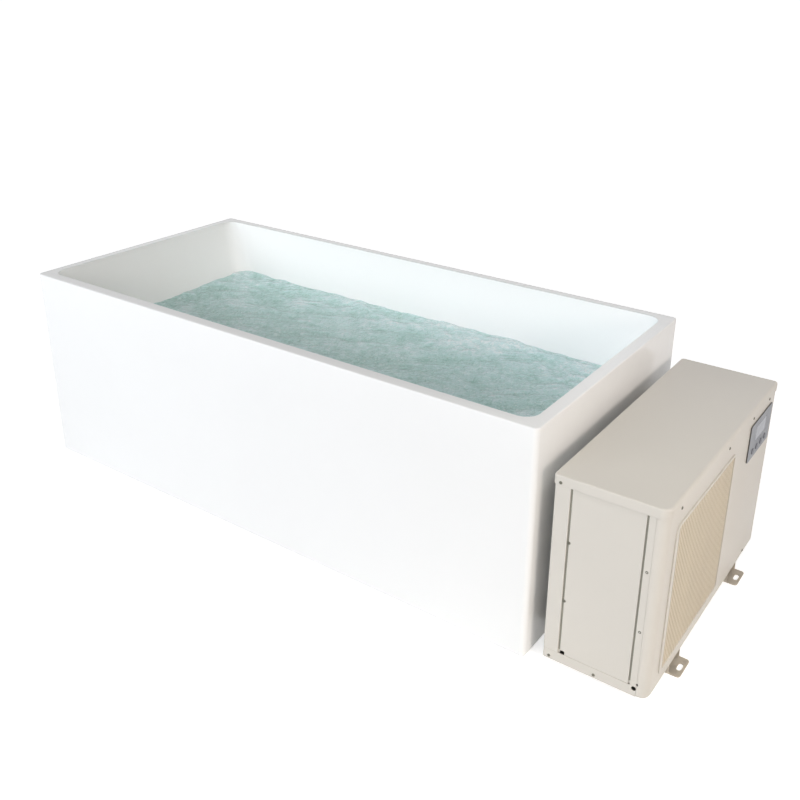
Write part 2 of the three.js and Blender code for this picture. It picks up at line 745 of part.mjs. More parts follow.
// A slotted cover in front of the suction fitting's flange.
function makeGrate() {
  const near = -2 * FIT - FITTING_FLANGE;
  const face = near - GRATE_THICKNESS;
  const half = FITTING_FLANGE_RADIUS - FITTING_FLANGE;
  const count = Math.floor(half / GRATE_PITCH);
  const slots = [];
  for (let i = -count; i <= count; i++) {
    const y = i * GRATE_PITCH;
    const edge = Math.min(half, Math.abs(y) + GRATE_SLOT / 2);
    const reach = Math.sqrt(half ** 2 - edge ** 2) - GRATE_SLOT;
    const [y0, y1] = [y - GRATE_SLOT / 2, y + GRATE_SLOT / 2];
    if (reach > GRATE_SLOT) slots.push(block(-reach, reach, y0, y1, face - CUT, near + CUT));
  }
  return solid(rod(half, face, near)).subtract(joined(slots));
}

// A hose tail: a shank in the fitting's bore, a collar, then barbs that a hose is pushed over.
function makeTail() {
  const seat = fittingEnd + FIT;
  const shank = FITTING_BORE - FIT;
  const start = fittingEnd - TAIL_SHANK;
  const profile = [[shank - TAIL_WALL, start], [shank, start], [shank, seat]];
  profile.push([FITTING_RADIUS, seat], [FITTING_RADIUS, seat + TAIL_COLLAR]);
  for (let i = 0; i < TAIL_BARBS; i++) {
    const z = seat + TAIL_COLLAR + i * BARB_PITCH;
    profile.push([shank, z], [shank + BARB_RISE, z + BARB_RISE], [shank, z + BARB_PITCH]);
  }
  profile.push([shank - TAIL_WALL, seat + TAIL_COLLAR + TAIL_BARBS * BARB_PITCH], profile[0]);
  return solid(turned(dropRepeats(profile)));
}

function dropRepeats(profile) {
  return profile.filter((p, i) => i === 0 || p[0] !== profile[i - 1][0] || p[1] !== profile[i - 1][1]);
}

function buildPort(group, name, x) {
  const port = new THREE.Group();
  port.applyMatrix4(portPlace(x));
  const nutSeat = SHELL_WALL + FIT;
  addPiece(port, `${name}_fitting`, makeFitting(), WHITE_SHELL);
  const backNut = nut(FITTING_RADIUS + FIT, FITTING_NUT_RADIUS, nutSeat, nutSeat + FITTING_NUT);
  addPiece(port, `${name}_nut`, backNut, BLACK_PLASTIC);
  addPiece(port, `${name}_tail`, makeTail(), BLACK_PLASTIC);
  if (name === 'suction') addPiece(port, 'suction_grate', makeGrate(), WHITE_SHELL);
  group.add(port);
}

function buildTub() {
  const tub = new THREE.Group();
  addPiece(tub, 'outer_skirt', makeSkirt(), WHITE_SHELL);
  addPiece(tub, 'basin', makeBasin(), WHITE_SHELL);
  addPiece(tub, 'insulation_jacket', makeJacket(), FOAM);
  addPiece(tub, 'base_board', makeBoard(), BOARD);
  let foot = 0;
  for (let i = 0; i < BAR_COUNT; i++) {
    const x = (i - (BAR_COUNT - 1) / 2) * barPitch;
    addPiece(tub, `cradle_bar_${i + 1}`, makeBar(x), GALVANISED);
    for (const side of [-1, 1]) {
      const place = new THREE.Group();
      place.position.set(x, side * footY, 0);
      foot += 1;
      addPiece(place, `levelling_foot_${foot}`, makeFoot(), BLACK_PLASTIC);
      tub.add(place);
    }
  }
  buildWaste(tub);
  buildPort(tub, 'suction', portXs[0]);
  buildPort(tub, 'return', portXs[1]);
  return tub;
}

// Corner centres and radii of the cabinet's outline, drawn in by an inset.
function cabinetCorners(inset) {
  const small = SMALL_CORNER - inset;
  return [
    { x: front - SMALL_CORNER, y: right - SMALL_CORNER, radius: small },
    { x: back + SMALL_CORNER, y: right - SMALL_CORNER, radius: small },
    { x: back + SMALL_CORNER, y: left + SMALL_CORNER, radius: small },
    { x: front - CABINET_CORNER, y: left + CABINET_CORNER, radius: CABINET_CORNER - inset },
  ];
}

function cabinetArc(corner, inset) {
  const { x, y, radius } = cabinetCorners(inset)[corner];
  return arc(x, y, radius, corner * 90, corner * 90 + 90);
}

function makeLid() {
  return loft([
    cornerRing(cabinetCorners(LID_WALL), top - LID_WALL),
    cornerRing(cabinetCorners(LID_WALL), top - LID_HEIGHT),
    cornerRing(cabinetCorners(0), top - LID_HEIGHT),
    ...edgeSteps(LID_EDGE).map(([inset, drop]) => cornerRing(cabinetCorners(inset), top - drop)),
  ]);
}

// The pan's walls are flush with the end and rear panels, and step in behind the front panel's returns.
function makePan() {
  const stepX = returnX - FIT;
  const stepY = PANEL + FIT;
  const outline = [
    ...cabinetArc(2, skin),
    point(stepX, left + skin),
    point(stepX, left + skin + stepY),
    ...cabinetArc(3, skin + stepY),
    ...cabinetArc(0, skin + stepY),
    point(stepX, right - skin - stepY),
    point(stepX, right - skin),
    ...cabinetArc(1, skin),
  ];
  const tray = solid(prism(new THREE.Shape(outline), panBottom, panRim));
  const pocket = solid(prism(new THREE.Shape(offset(outline, PAN_WALL, true)), panFloor, panRim + CUT));
  return tray.subtract(pocket);
}

function slotShape(x) {
  const half = BOLT_SLOT_WIDTH / 2;
  const run = BOLT_SLOT_LENGTH / 2 - half;
  return new THREE.Path([...arc(x, run, half, 0, 180), ...arc(x, -run, half, 180, 360)]);
}

// A channel along X under the pan. Its floor runs out at both ends as a foot with a bolt slot.
function makeRail() {
  const length = CABINET_DEPTH + 2 * RAIL_REACH;
  const floor = roundedShape(length, RAIL_WIDTH, RAIL_CORNER);
  const slotX = CABINET_DEPTH / 2 + RAIL_REACH / 2;
  floor.holes.push(slotShape(slotX), slotShape(-slotX));
  const reach = CABINET_DEPTH / 2 - skin;
  const sides = [-1, 1].map((side) => {
    const y = [side * RAIL_WIDTH / 2, side * (RAIL_WIDTH / 2 - RAIL_WALL)].sort((a, b) => a - b);
    return block(-reach, reach, ...y, RAIL_WALL / 2, RAIL_HEIGHT);
  });
  return joined([solid(prism(floor, 0, RAIL_WALL)), ...sides]);
}

function makeFrontPanel() {
  const path = [
    point(returnX, left + skin),
    ...cabinetArc(3, skin),
    ...cabinetArc(0, skin),
    point(returnX, right - skin),
  ];
  const [x0, x1] = [faceX - PANEL - CUT, faceX + CUT];
  const width = 2 * (FAN_RADIUS + FAN_TIP_GAP);
  const outlet = frontPrism(roundedShape(width, width, OUTLET_CORNER), x0, x1).translate(0, fanY, fanZ);
  const keypad = frontPrism(keypadShape(0), x0, x1).translate(0, keypadY, keypadZ);
  return sheet(path, panBottom + FRONT_LIFT, panelTop).subtract(solid(outlet)).subtract(solid(keypad));
}

function keypadShape(inset) {
  const trim = 2 * (KEYPAD_LIP + inset);
  return roundedShape(KEYPAD_WIDTH - trim, KEYPAD_HEIGHT - trim, KEYPAD_CORNER);
}

// A moulded frame with upright ribs, tied by cross bars behind them.
function makeGrille() {
  const [rear, face] = [faceX + FIT, faceX + FIT + GRILLE_DEPTH];
  const frame = roundedShape(GRILLE_SIZE, GRILLE_SIZE, GRILLE_CORNER);
  const inside = GRILLE_SIZE - 2 * GRILLE_FRAME;
  frame.holes.push(roundedShape(inside, inside, GRILLE_CORNER - GRILLE_FRAME));
  const pitch = inside / (RIB_COUNT + 1);
  const reach = inside / 2 + GRILLE_FRAME / 2;
  const bars = [];
  for (let i = 1; i <= RIB_COUNT; i++) {
    const y = i * pitch - inside / 2;
    const [y0, y1] = [y - RIB_WIDTH / 2, y + RIB_WIDTH / 2];
    bars.push(block(rear + CROSS_DEPTH / 2, face - RIB_DROP, y0, y1, -reach, reach));
  }
  for (let i = 1; i <= CROSS_COUNT; i++) {
    const z = (i * inside) / (CROSS_COUNT + 1) - inside / 2;
    bars.push(block(rear, rear + CROSS_DEPTH, -reach, reach, z - CROSS_WIDTH / 2, z + CROSS_WIDTH / 2));
  }
  const trimSize = GRILLE_SIZE - GRILLE_FRAME;
  const trim = roundedShape(trimSize, trimSize, GRILLE_CORNER - GRILLE_FRAME / 2);
  const lattice = joined(bars).intersect(solid(frontPrism(trim, rear, face)));
  return solid(frontPrism(frame, rear, face)).add(lattice);
}

const panelX = [back + POST_WIDTH + GROOVE, returnX - FIT - STRIP_WIDTH - GROOVE]; // left end panel's edges

const flangeY = left + skin + END_RECESS + PANEL + FIT; // outside of the flanges behind that panel

function slotCutter() {
  const [y0, y1] = [left + skin - CUT, flangeY + PANEL + CUT];
  const [x0, x1] = [panelX[0] - CUT, panelX[0] + SLOT_WIDTH];
  return block(x0, x1, y0, y1, panelFoot - CUT, panelFoot + SLOT_HEIGHT);
}

function makeLeftEndPanel() {
  const y = left + skin + END_RECESS;
  return block(...panelX, y, y + PANEL, panelFoot, panelTop).subtract(slotCutter());
}

function makeRearPost() {
  const edge = back + POST_WIDTH;
  const path = [
    point(back + skin, left + skin + POST_RETURN),
    ...cabinetArc(2, skin),
    point(edge, left + skin),
    point(edge, flangeY),
    point(edge + FLANGE, flangeY),
  ];
  return sheet(path, panelFoot, panelTop).subtract(slotCutter());
}

function makeFrontPost() {
  const edge = returnX - FIT;
  const behind = left + skin + PANEL + FIT;
  const path = [
    point(edge - STRIP_WIDTH - FLANGE, flangeY),
    point(edge - STRIP_WIDTH, flangeY),
    point(edge - STRIP_WIDTH, left + skin),
    point(edge, left + skin),
    point(edge, behind),
    point(edge + CORNER_LAND, behind),
  ];
  return sheet(path, panelFoot, panelTop);
}

function makeRightEndPanel() {
  const path = [
    point(returnX - FIT, right - skin),
    ...cabinetArc(1, skin),
    point(back + skin, coilEnd),
  ];
  const holes = [
    [pumpX, PUMP_HEIGHT, PORT_THREAD_RADIUS],
    [tankX, OUTLET_HEIGHT, PORT_THREAD_RADIUS],
    [GLAND_X, GLAND_HEIGHT, GLAND_RADIUS],
  ].map(([x, z, radius]) => solid(alongY(rod(radius + FIT, endWall - CUT, right)).translate(x, 0, z)));
  return sheet(path, panelFoot, panelTop).subtract(joined(holes));
}

function makeCoilGuard() {
  const [y0, y1] = [left + skin + POST_RETURN + FIT, coilEnd - FIT];
  const [z0, z1] = [panelFoot, panelTop];
  const [x0, x1] = [back + skin, back + skin + PANEL];
  const cell = [(y1 - y0 - GUARD_BAR) / GUARD_COLUMNS, (z1 - z0 - GUARD_BAR) / GUARD_ROWS];
  const openings = [];
  for (let i = 0; i < GUARD_COLUMNS; i++) {
    for (let j = 0; j < GUARD_ROWS; j++) {
      const [y, z] = [y0 + GUARD_BAR + i * cell[0], z0 + GUARD_BAR + j * cell[1]];
      openings.push(block(x0 - CUT, x1 + CUT, y, y + cell[0] - GUARD_BAR, z, z + cell[1] - GUARD_BAR));
    }
  }
  return block(x0, x1, y0, y1, z0, z1).subtract(joined(openings));
}

// A plate between the fan bay and the machine bay, with a foot flange on the pan.
function makePartition() {
  const [x0, x1] = [coilFront + FIT, faceX - PANEL - PAN_WALL - 2 * FIT];
  return joined([
    block(x0, x1, partitionY, partitionY + PANEL, panFloor + FIT, panelTop),
    block(x0, x1, partitionY + PANEL - FOLD, partitionY + PANEL, panFloor + FIT, panFloor + FIT + PANEL),
  ]);
}

// The finned block, its return bends and the two pipe connections at its end.
function makeCoil() {
  const low = panFloor + FIT;
  const pitch = (dischargeZ - liquidZ) / (BEND_COUNT + 1);
  const tubes = [];
  for (let i = 1; i <= BEND_COUNT; i++) {
    const z = liquidZ + i * pitch;
    const y = coilEnd + BEND_RADIUS;
    tubes.push(pipe([
      at(coilX, coilEnd - SINK, z - BEND_RADIUS), at(coilX, y, z - BEND_RADIUS),
      at(coilX, y, z + BEND_RADIUS), at(coilX, coilEnd - SINK, z + BEND_RADIUS),
    ], TUBE_RADIUS, PIPE_SIDES, BEND_RADIUS));
  }
  for (const z of [liquidZ, dischargeZ]) {
    tubes.push(pipe([at(coilX, coilEnd - SINK, z), at(coilX, coilEnd + STUB, z)], TUBE_RADIUS));
  }
  const start = left + skin + PANEL + FOLD + 2 * FIT;
  return joined([block(coilBack, coilFront, start, coilEnd, low, coilTop), ...tubes]);
}

const liquidZ = panFloor + PAN_HEIGHT + 2 * TUBE_RADIUS;
const dischargeZ = compressorTop + STUB + PIPE_RISE;

// Two stiles from the pan to the lid, with a plate between them for the motor.
function makeBracket() {
  const half = BRACKET_WIDTH / 2;
  const [x0, x1] = [bracketX, bracketX + BRACKET_WALL];
  const [z0, z1] = [panFloor + FIT, top - LID_WALL - FIT];
  return joined([
    block(x0, x1, fanY - half, fanY - half + BRACKET_STILE, z0, z1),
    block(x0, x1, fanY + half - BRACKET_STILE, fanY + half, z0, z1),
    block(x0, x1, fanY - half, fanY + half, fanZ - MOTOR_RADIUS, fanZ + MOTOR_RADIUS),
    block(x0 - FOLD, x1, fanY - half, fanY + half, z0, z0 + BRACKET_WALL),
    block(x0 - FOLD, x1, fanY - half, fanY + half, z1 - BRACKET_WALL, z1),
  ]);
}

function makeFanMotor() {
  const shoulder = MOTOR_LENGTH / 5;
  return solid(alongX(turned([
    [0, motorBack],
    [MOTOR_RADIUS, motorBack],
    [MOTOR_RADIUS, motorFront - shoulder],
    [MOTOR_RADIUS - shoulder, motorFront],
    [SHAFT_RADIUS, motorFront],
    [SHAFT_RADIUS, hubBack + HUB_LENGTH - MOTOR_TO_HUB],
    [0, hubBack + HUB_LENGTH - MOTOR_TO_HUB],
  ])).translate(0, fanY, fanZ));
}

// One blade: sections wrapped round the axis, whose pitch and chord change from root to tip.
function makeBlade(turn) {
  const span = FAN_RADIUS - HUB_RADIUS;
  const step = span / (BLADE_STATIONS - 1);
  const stations = Array.from({ length: BLADE_STATIONS }, (_, i) => HUB_RADIUS + i * step);
  const chordSteps = [-0.5, -0.25, 0, 0.25, 0.5];
  const rings = [HUB_RADIUS - 2 * BLADE_THICKNESS, ...stations].map((radius) => {
    const share = Math.max(0, (radius - HUB_RADIUS) / span);
    const pitch = rad(THREE.MathUtils.lerp(BLADE_ROOT_PITCH_DEG, BLADE_TIP_PITCH_DEG, share));
    const wanted = BLADE_CHORD * THREE.MathUtils.lerp(BLADE_ROOT_SHARE, 1, share);
    const chord = Math.min(wanted, HUB_LENGTH / Math.sin(pitch) - 4 * BLADE_THICKNESS);
    const sweep = BLADE_SWEEP * share;
    const place = (t, thickness) => {
      const angle = turn + sweep + (t * chord * Math.cos(pitch)) / radius;
      const camber = BLADE_CAMBER * chord * (1 - 4 * t * t);
      const x = hubBack + HUB_LENGTH / 2 - t * chord * Math.sin(pitch) + camber + thickness;
      return at(x, fanY + radius * Math.cos(angle), fanZ + radius * Math.sin(angle));
    };
    const upper = chordSteps.map((t) => place(t, BLADE_THICKNESS / 2));
    const lower = chordSteps.map((t) => place(t, -BLADE_THICKNESS / 2)).reverse();
    return [...upper, ...lower];
  });
  return loft(rings);
}

function makeFanBlade() {
  const nose = hubBack + HUB_LENGTH;
  const hub = solid(alongX(turned([
    [0, hubBack],
    [HUB_RADIUS, hubBack],
    [HUB_RADIUS, nose - HUB_RADIUS / 6],
    [HUB_RADIUS * SHOULDER, nose],
    [0, nose],
  ], WIDE_ROUND_STEPS)).translate(0, fanY, fanZ));
  const bore = alongX(rod(SHAFT_RADIUS + FIT, hubBack - CUT, nose - MOTOR_TO_HUB + FIT));
  const blades = Array.from({ length: BLADE_COUNT }, (_, i) => makeBlade((2 * Math.PI * i) / BLADE_COUNT));
  return joined([hub, ...blades]).subtract(solid(bore.translate(0, fanY, fanZ)));
}

// Three rounded ears about the compressor's axis.
function earPlate(z0, z1) {
  const outline = [0, 120, 240].flatMap((deg) => {
    const [x, y] = [EAR_REACH * Math.cos(rad(deg)), EAR_REACH * Math.sin(rad(deg))];
    return arc(x, y, EAR_RADIUS, deg - 60, deg + 60);
  });
  return solid(prism(new THREE.Shape(outline), z0, z1).translate(compressorX, compressorY, 0));
}

function makeCompressor() {
  const bodyLow = plateBottom + PLATE_THICKNESS;
  const dome = COMPRESSOR_DOME;
  const radius = COMPRESSOR_RADIUS;
  const shell = solid(turned([
    [0, plateBottom + PLATE_THICKNESS / 2],
    [radius * SHOULDER, plateBottom + PLATE_THICKNESS / 2],
    [radius * SHOULDER, bodyLow + dome / 4],
    [radius, bodyLow + dome],
    [radius, compressorTop - dome],
    [radius * SHOULDER, compressorTop - dome / 3],
    [radius / 3, compressorTop],
    [TUBE_RADIUS, compressorTop],
    [TUBE_RADIUS, compressorTop + STUB],
    [0, compressorTop + STUB],
  ], WIDE_ROUND_STEPS).translate(compressorX, compressorY, 0));
  const low = accumulatorTop - ACCUMULATOR_HEIGHT;
  const bottle = solid(turned([
    [0, low],
    [ACCUMULATOR_RADIUS / 2, low],
    [ACCUMULATOR_RADIUS, low + ACCUMULATOR_RADIUS / 2],
    [ACCUMULATOR_RADIUS, accumulatorTop - ACCUMULATOR_RADIUS / 2],
    [TUBE_RADIUS, accumulatorTop],
    [TUBE_RADIUS, accumulatorTop + STUB],
    [0, accumulatorTop + STUB],
  ]).translate(accumulatorX, compressorY, 0));
  const elbow = pipe([
    at(accumulatorX, compressorY, low + SINK),
    at(accumulatorX, compressorY, low - STUB - PIPE_BEND),
    at(compressorX, compressorY, low - STUB - PIPE_BEND),
  ], 2 * TUBE_RADIUS);
  const strapZ = accumulatorTop - ACCUMULATOR_HEIGHT / 3;
  const strapY = [compressorY - FOLD, compressorY + FOLD];
  const strap = block(compressorX, accumulatorX, ...strapY, strapZ - FOLD, strapZ);
  return joined([shell, bottle, elbow, strap, earPlate(plateBottom, bodyLow)]);
}

function makeTank() {
  const low = panFloor + FIT;
  const vessel = solid(turned([
    [0, low],
    [TANK_RADIUS, low],
    [TANK_RADIUS, tankTop - TANK_DOME],
    [TANK_RADIUS * SHOULDER, tankTop],
    [0, tankTop],
  ], WIDE_ROUND_STEPS).translate(tankX, tankY, 0));
  const outlet = rod(NOZZLE_RADIUS, tankTop - SINK, tankTop + NOZZLE).translate(tankX, tankY, 0);
  const inlet = alongX(rod(nozzleBore - FIT, tankX, pumpX - PUMP_RADIUS));
  inlet.translate(0, tankY, PUMP_HEIGHT + OUTLET_OFFSET);
  const vapour = [at(tankX, vapourY, tankTop - TANK_DOME), at(tankX, vapourY, tankTop + STUB)];
  const liquid = [at(tankX, tankY, liquidZ), at(tankX, tankY - TANK_RADIUS - STUB, liquidZ)];
  return joined([vessel, solid(outlet), solid(inlet), pipe(vapour, TUBE_RADIUS), pipe(liquid, TUBE_RADIUS)]);
}

const vapourY = tankY - TANK_RADIUS / 2 - NOZZLE_RADIUS / 2;
const pumpBack = tankY - PUMP_LENGTH / 2;
const nozzleBore = NOZZLE_RADIUS - PUMP_WALL / 2;

// The volute opens towards its motor, with the inlet on its axis and the outlet square to it.
function makePumpCasing() {
  const nozzleEnd = pumpFace + NOZZLE;
  const bowl = solid(alongY(turned([
    [0, pumpBack],
    [PUMP_RADIUS, pumpBack],
    [PUMP_RADIUS, pumpFace - PUMP_WALL],
    [PUMP_RADIUS - PUMP_WALL, pumpFace],
    [NOZZLE_RADIUS, pumpFace],
    [NOZZLE_RADIUS, nozzleEnd],
    [0, nozzleEnd],
  ], WIDE_ROUND_STEPS)));
  const [outletEnd, outletRoot] = [-PUMP_RADIUS - NOZZLE, -PUMP_RADIUS / 2];
  const outlet = alongX(rod(NOZZLE_RADIUS, outletEnd, outletRoot)).translate(0, tankY, OUTLET_OFFSET);
  const cavity = solid(alongY(turned([
    [0, pumpBack - CUT],
    [PUMP_RADIUS - PUMP_WALL, pumpBack - CUT],
    [PUMP_RADIUS - PUMP_WALL, pumpFace - PUMP_WALL],
    [nozzleBore, pumpFace - PUMP_WALL],
    [nozzleBore, nozzleEnd + CUT],
    [0, nozzleEnd + CUT],
  ])));
  const bore = alongX(rod(nozzleBore, outletEnd - CUT, outletRoot)).translate(0, tankY, OUTLET_OFFSET);
  return joined([bowl, solid(outlet)]).subtract(joined([cavity, solid(bore)]));
}

function makePumpMotor() {
  const flangeFace = pumpBack - FIT;
  const cap = PUMP_MOTOR_RADIUS / 4;
  const body = solid(alongY(turned([
    [0, flangeFace - PUMP_MOTOR_LENGTH],
    [PUMP_MOTOR_RADIUS - cap, flangeFace - PUMP_MOTOR_LENGTH],
    [PUMP_MOTOR_RADIUS, flangeFace - PUMP_MOTOR_LENGTH + cap],
    [PUMP_MOTOR_RADIUS, flangeFace - PUMP_WALL],
    [PUMP_RADIUS, flangeFace - PUMP_WALL],
    [PUMP_RADIUS, flangeFace],
    [PUMP_SHAFT_RADIUS, flangeFace],
    [PUMP_SHAFT_RADIUS, impellerBack + IMPELLER_LENGTH / 2],
    [0, impellerBack + IMPELLER_LENGTH / 2],
  ])));
  const half = PUMP_FOOT_WIDTH / 2;
  const [y0, y1] = [flangeFace - PUMP_MOTOR_LENGTH + 2 * cap, flangeFace - 2 * PUMP_WALL];
  const foot = block(-half, half, y0, y1, panFloor + FIT - PUMP_HEIGHT, 0);
  return joined([body, foot]);
}

const impellerBack = pumpBack + PUMP_WALL / 2;

function makeImpeller() {
  const disc = IMPELLER_LENGTH / 4;
  const hubRadius = PUMP_SHAFT_RADIUS + PUMP_WALL / 2;
  const wheel = solid(alongY(turned([
    [0, impellerBack],
    [IMPELLER_RADIUS, impellerBack],
    [IMPELLER_RADIUS, impellerBack + disc],
    [hubRadius, impellerBack + disc],
    [hubRadius, impellerBack + IMPELLER_LENGTH],
    [0, impellerBack + IMPELLER_LENGTH],
  ])));
  const vaneHeight = IMPELLER_LENGTH - disc / 2;
  const vaneY = impellerBack + IMPELLER_LENGTH - vaneHeight / 2;
  const vanes = Array.from({ length: VANE_COUNT }, (_, i) => {
    const vane = new THREE.BoxGeometry(IMPELLER_RADIUS - hubRadius, vaneHeight, VANE_WIDTH);
    vane.translate((IMPELLER_RADIUS + hubRadius) / 2 - SINK, vaneY, VANE_WIDTH);
    return solid(vane.rotateY((2 * Math.PI * i) / VANE_COUNT));
  });
  const boreEnd = impellerBack + IMPELLER_LENGTH / 2 + FIT;
  const bore = alongY(rod(PUMP_SHAFT_RADIUS + FIT, impellerBack - CUT, boreEnd));
  return joined([wheel, ...vanes]).subtract(solid(bore));
}

// A threaded water connection through the right end panel, with a spigot inside for its hose.
function makePort() {
  const spigotEnd = endWall - HOSE_END_GAP - FOLD;
  const flangeSeat = right - skin + FIT;
  return solid(alongY(turned([
    [PORT_BORE, spigotEnd],
    [NOZZLE_RADIUS, spigotEnd],
    [NOZZLE_RADIUS, endWall - HOSE_END_GAP],
    [PORT_THREAD_RADIUS, endWall - HOSE_END_GAP],
    [PORT_THREAD_RADIUS, flangeSeat],
    [PORT_FLANGE_RADIUS, flangeSeat],
    [PORT_FLANGE_RADIUS, flangeSeat + PORT_FLANGE],
    [PORT_THREAD_RADIUS, flangeSeat + PORT_FLANGE],
    [PORT_THREAD_RADIUS, flangeSeat + PORT_FLANGE + PORT_THREAD],
    [PORT_BORE, flangeSeat + PORT_FLANGE + PORT_THREAD],
    [PORT_BORE, spigotEnd],
  ])));
}

function makeGland() {
  const seat = right - skin + FIT;
  const dome = GLAND_RADIUS / 3;
  return solid(alongY(turned([
    [GLAND_BORE, endWall - FOLD],
    [GLAND_RADIUS, endWall - FOLD],
    [GLAND_RADIUS, seat],
    [GLAND_RADIUS + dome, seat],
    [GLAND_RADIUS + dome, seat + GLAND_REACH - dome],
    [GLAND_RADIUS, seat + GLAND_REACH],
    [GLAND_BORE, seat + GLAND_REACH],
    [GLAND_BORE, endWall - FOLD],
  ])));
}

// A hose over two spigots: the outside of the run less its bore.
function hose(stops, bend) {
  const [first, last] = [stops[0], stops[stops.length - 1]];
  const lead = first.clone().sub(stops[1]).normalize();
  const trail = last.clone().sub(stops[stops.length - 2]).normalize();
  const through = [first.clone().add(lead), ...stops.slice(1, -1), last.clone().add(trail)];
  const bore = NOZZLE_RADIUS + 2 * FIT;
  return pipe(stops, bore + HOSE_WALL, HOSE_SIDES, bend).subtract(pipe(through, bore, HOSE_SIDES, bend));
}

function makeOutletHose() {
  return hose([
    at(tankX, tankY, tankTop + HOSE_END_GAP),
    at(tankX, tankY, OUTLET_HEIGHT),
    at(tankX, endWall - HOSE_END_GAP - FIT, OUTLET_HEIGHT),
  ], 2 * NOZZLE_RADIUS);
}

function makeInletHose() {
  const bore = NOZZLE_RADIUS + 2 * FIT;
  const sleeve = ring(bore, bore + HOSE_WALL, pumpFace + HOSE_END_GAP, endWall - HOSE_END_GAP - FIT);
  return solid(alongY(sleeve).translate(pumpX, 0, PUMP_HEIGHT));
}

function makeDischargePipe() {
  return pipe([
    at(compressorX, compressorY, compressorTop + STUB + FIT),
    at(compressorX, compressorY, dischargeZ),
    at(coilX, compressorY, dischargeZ),
    at(coilX, coilEnd + STUB + FIT, dischargeZ),
  ], TUBE_RADIUS);
}

function makeSuctionPipe() {
  const z = tankTop + STUB + PIPE_RISE;
  return pipe([
    at(tankX, vapourY, tankTop + STUB + FIT),
    at(tankX, vapourY, z),
    at(accumulatorX, compressorY, z),
    at(accumulatorX, compressorY, accumulatorTop + STUB + FIT),
  ], TUBE_RADIUS);
}

// The liquid line runs along the back and carries the filter drier.
function makeLiquidLine() {
  const tankStub = tankY - TANK_RADIUS - STUB - FIT;
  const run = pipe([
    at(coilX, coilEnd + STUB + FIT, liquidZ),
    at(coilX, tankStub - 2 * PIPE_BEND, liquidZ),
    at(tankX, tankStub - PIPE_BEND, liquidZ),
    at(tankX, tankStub, liquidZ),
  ], TUBE_RADIUS);
  const start = coilEnd + STUB + PIPE_BEND;
  const drier = solid(alongY(turned([
    [0, start],
    [DRIER_RADIUS, start + DRIER_RADIUS],
    [DRIER_RADIUS, start + DRIER_LENGTH - DRIER_RADIUS],
    [0, start + DRIER_LENGTH],
  ])).translate(coilX, 0, liquidZ));
  return run.add(drier);
}

function makeElectricalBox() {
  const x1 = faceX - PANEL - BOX_FRONT_GAP;
  const z1 = panelTop - BOX_TOP_GAP;
  const y0 = partitionY + PANEL + FIT;
  const y1 = right - KEYPAD_FROM_RIGHT;
  const body = block(x1 - BOX_DEPTH, x1 - PANEL, y0, y1, z1 - BOX_HEIGHT, z1);
  const lip = block(x1 - 2 * PANEL, x1, y0, y1 + PANEL, z1 - BOX_HEIGHT - PANEL, z1 + PANEL);
  return body.add(lip);
}

function buttonY(index) {
  return keypadY + (index - (BUTTON_COUNT - 1) / 2) * BUTTON_PITCH;
}

const buttonZ = keypadZ - KEYPAD_HEIGHT / 2 + BUTTON_FROM_BOTTOM;
const windowZ = keypadZ + KEYPAD_HEIGHT / 2 - WINDOW_FROM_TOP - WINDOW_HEIGHT / 2;
const keypadFace = faceX + FIT + KEYPAD_FLANGE;
const keypadBack = keypadFace - KEYPAD_BODY;

// The moulded bezel: a flange on the panel, a body in its cut-out, a window recess and button bores.
function makeKeypad() {
  const rim = roundedShape(KEYPAD_WIDTH, KEYPAD_HEIGHT, KEYPAD_CORNER);
  const flange = frontPrism(rim, faceX + FIT, keypadFace);
  const body = frontPrism(keypadShape(FIT), keypadBack, faceX + KEYPAD_FLANGE / 2);
  const centred = [flange, body].map((g) => solid(g.translate(0, keypadY, keypadZ)));
  const recess = frontPrism(windowShape(FIT), keypadFace - WINDOW_THICKNESS - FIT, keypadFace + CUT);
  const bores = Array.from({ length: BUTTON_COUNT }, (_, i) => {
    const bore = alongX(rod(BUTTON_RADIUS + FIT, keypadBack - CUT, keypadFace + CUT));
    return solid(bore.translate(0, buttonY(i), buttonZ));
  });
  return joined(centred).subtract(joined([solid(recess.translate(0, keypadY, windowZ)), ...bores]));
}

function windowShape(grow) {
  return roundedShape(WINDOW_WIDTH + 2 * grow, WINDOW_HEIGHT + 2 * grow, KEYPAD_CORNER / 2);
}

function makeWindow() {
  const pane = frontPrism(windowShape(0), keypadFace - WINDOW_THICKNESS, keypadFace);
  return solid(pane.translate(0, keypadY, windowZ));
}

// A push cap held behind the bezel by its flange.
function makeButton(index) {
  const seat = keypadBack - FIT;
  const face = keypadFace + BUTTON_PROUD;
  return solid(alongX(turned([
    [0, seat - BUTTON_FLANGE],
    [BUTTON_FLANGE_RADIUS, seat - BUTTON_FLANGE],
    [BUTTON_FLANGE_RADIUS, seat],
    [BUTTON_RADIUS, seat],
    [BUTTON_RADIUS, face - BUTTON_PROUD / 2],
    [BUTTON_RADIUS - BUTTON_PROUD / 2, face],
    [0, face],
  ])).translate(0, buttonY(index), buttonZ));
}

function buildControls(group) {
  addPiece(group, 'control_panel', makeKeypad(), KEYPAD_PLASTIC);
  addPiece(group, 'display_window', makeWindow(), DISPLAY_FILM);
  for (let i = 0; i < BUTTON_COUNT; i++) addPiece(group, `button_${i + 1}`, makeButton(i), GREY_PLASTIC);
}

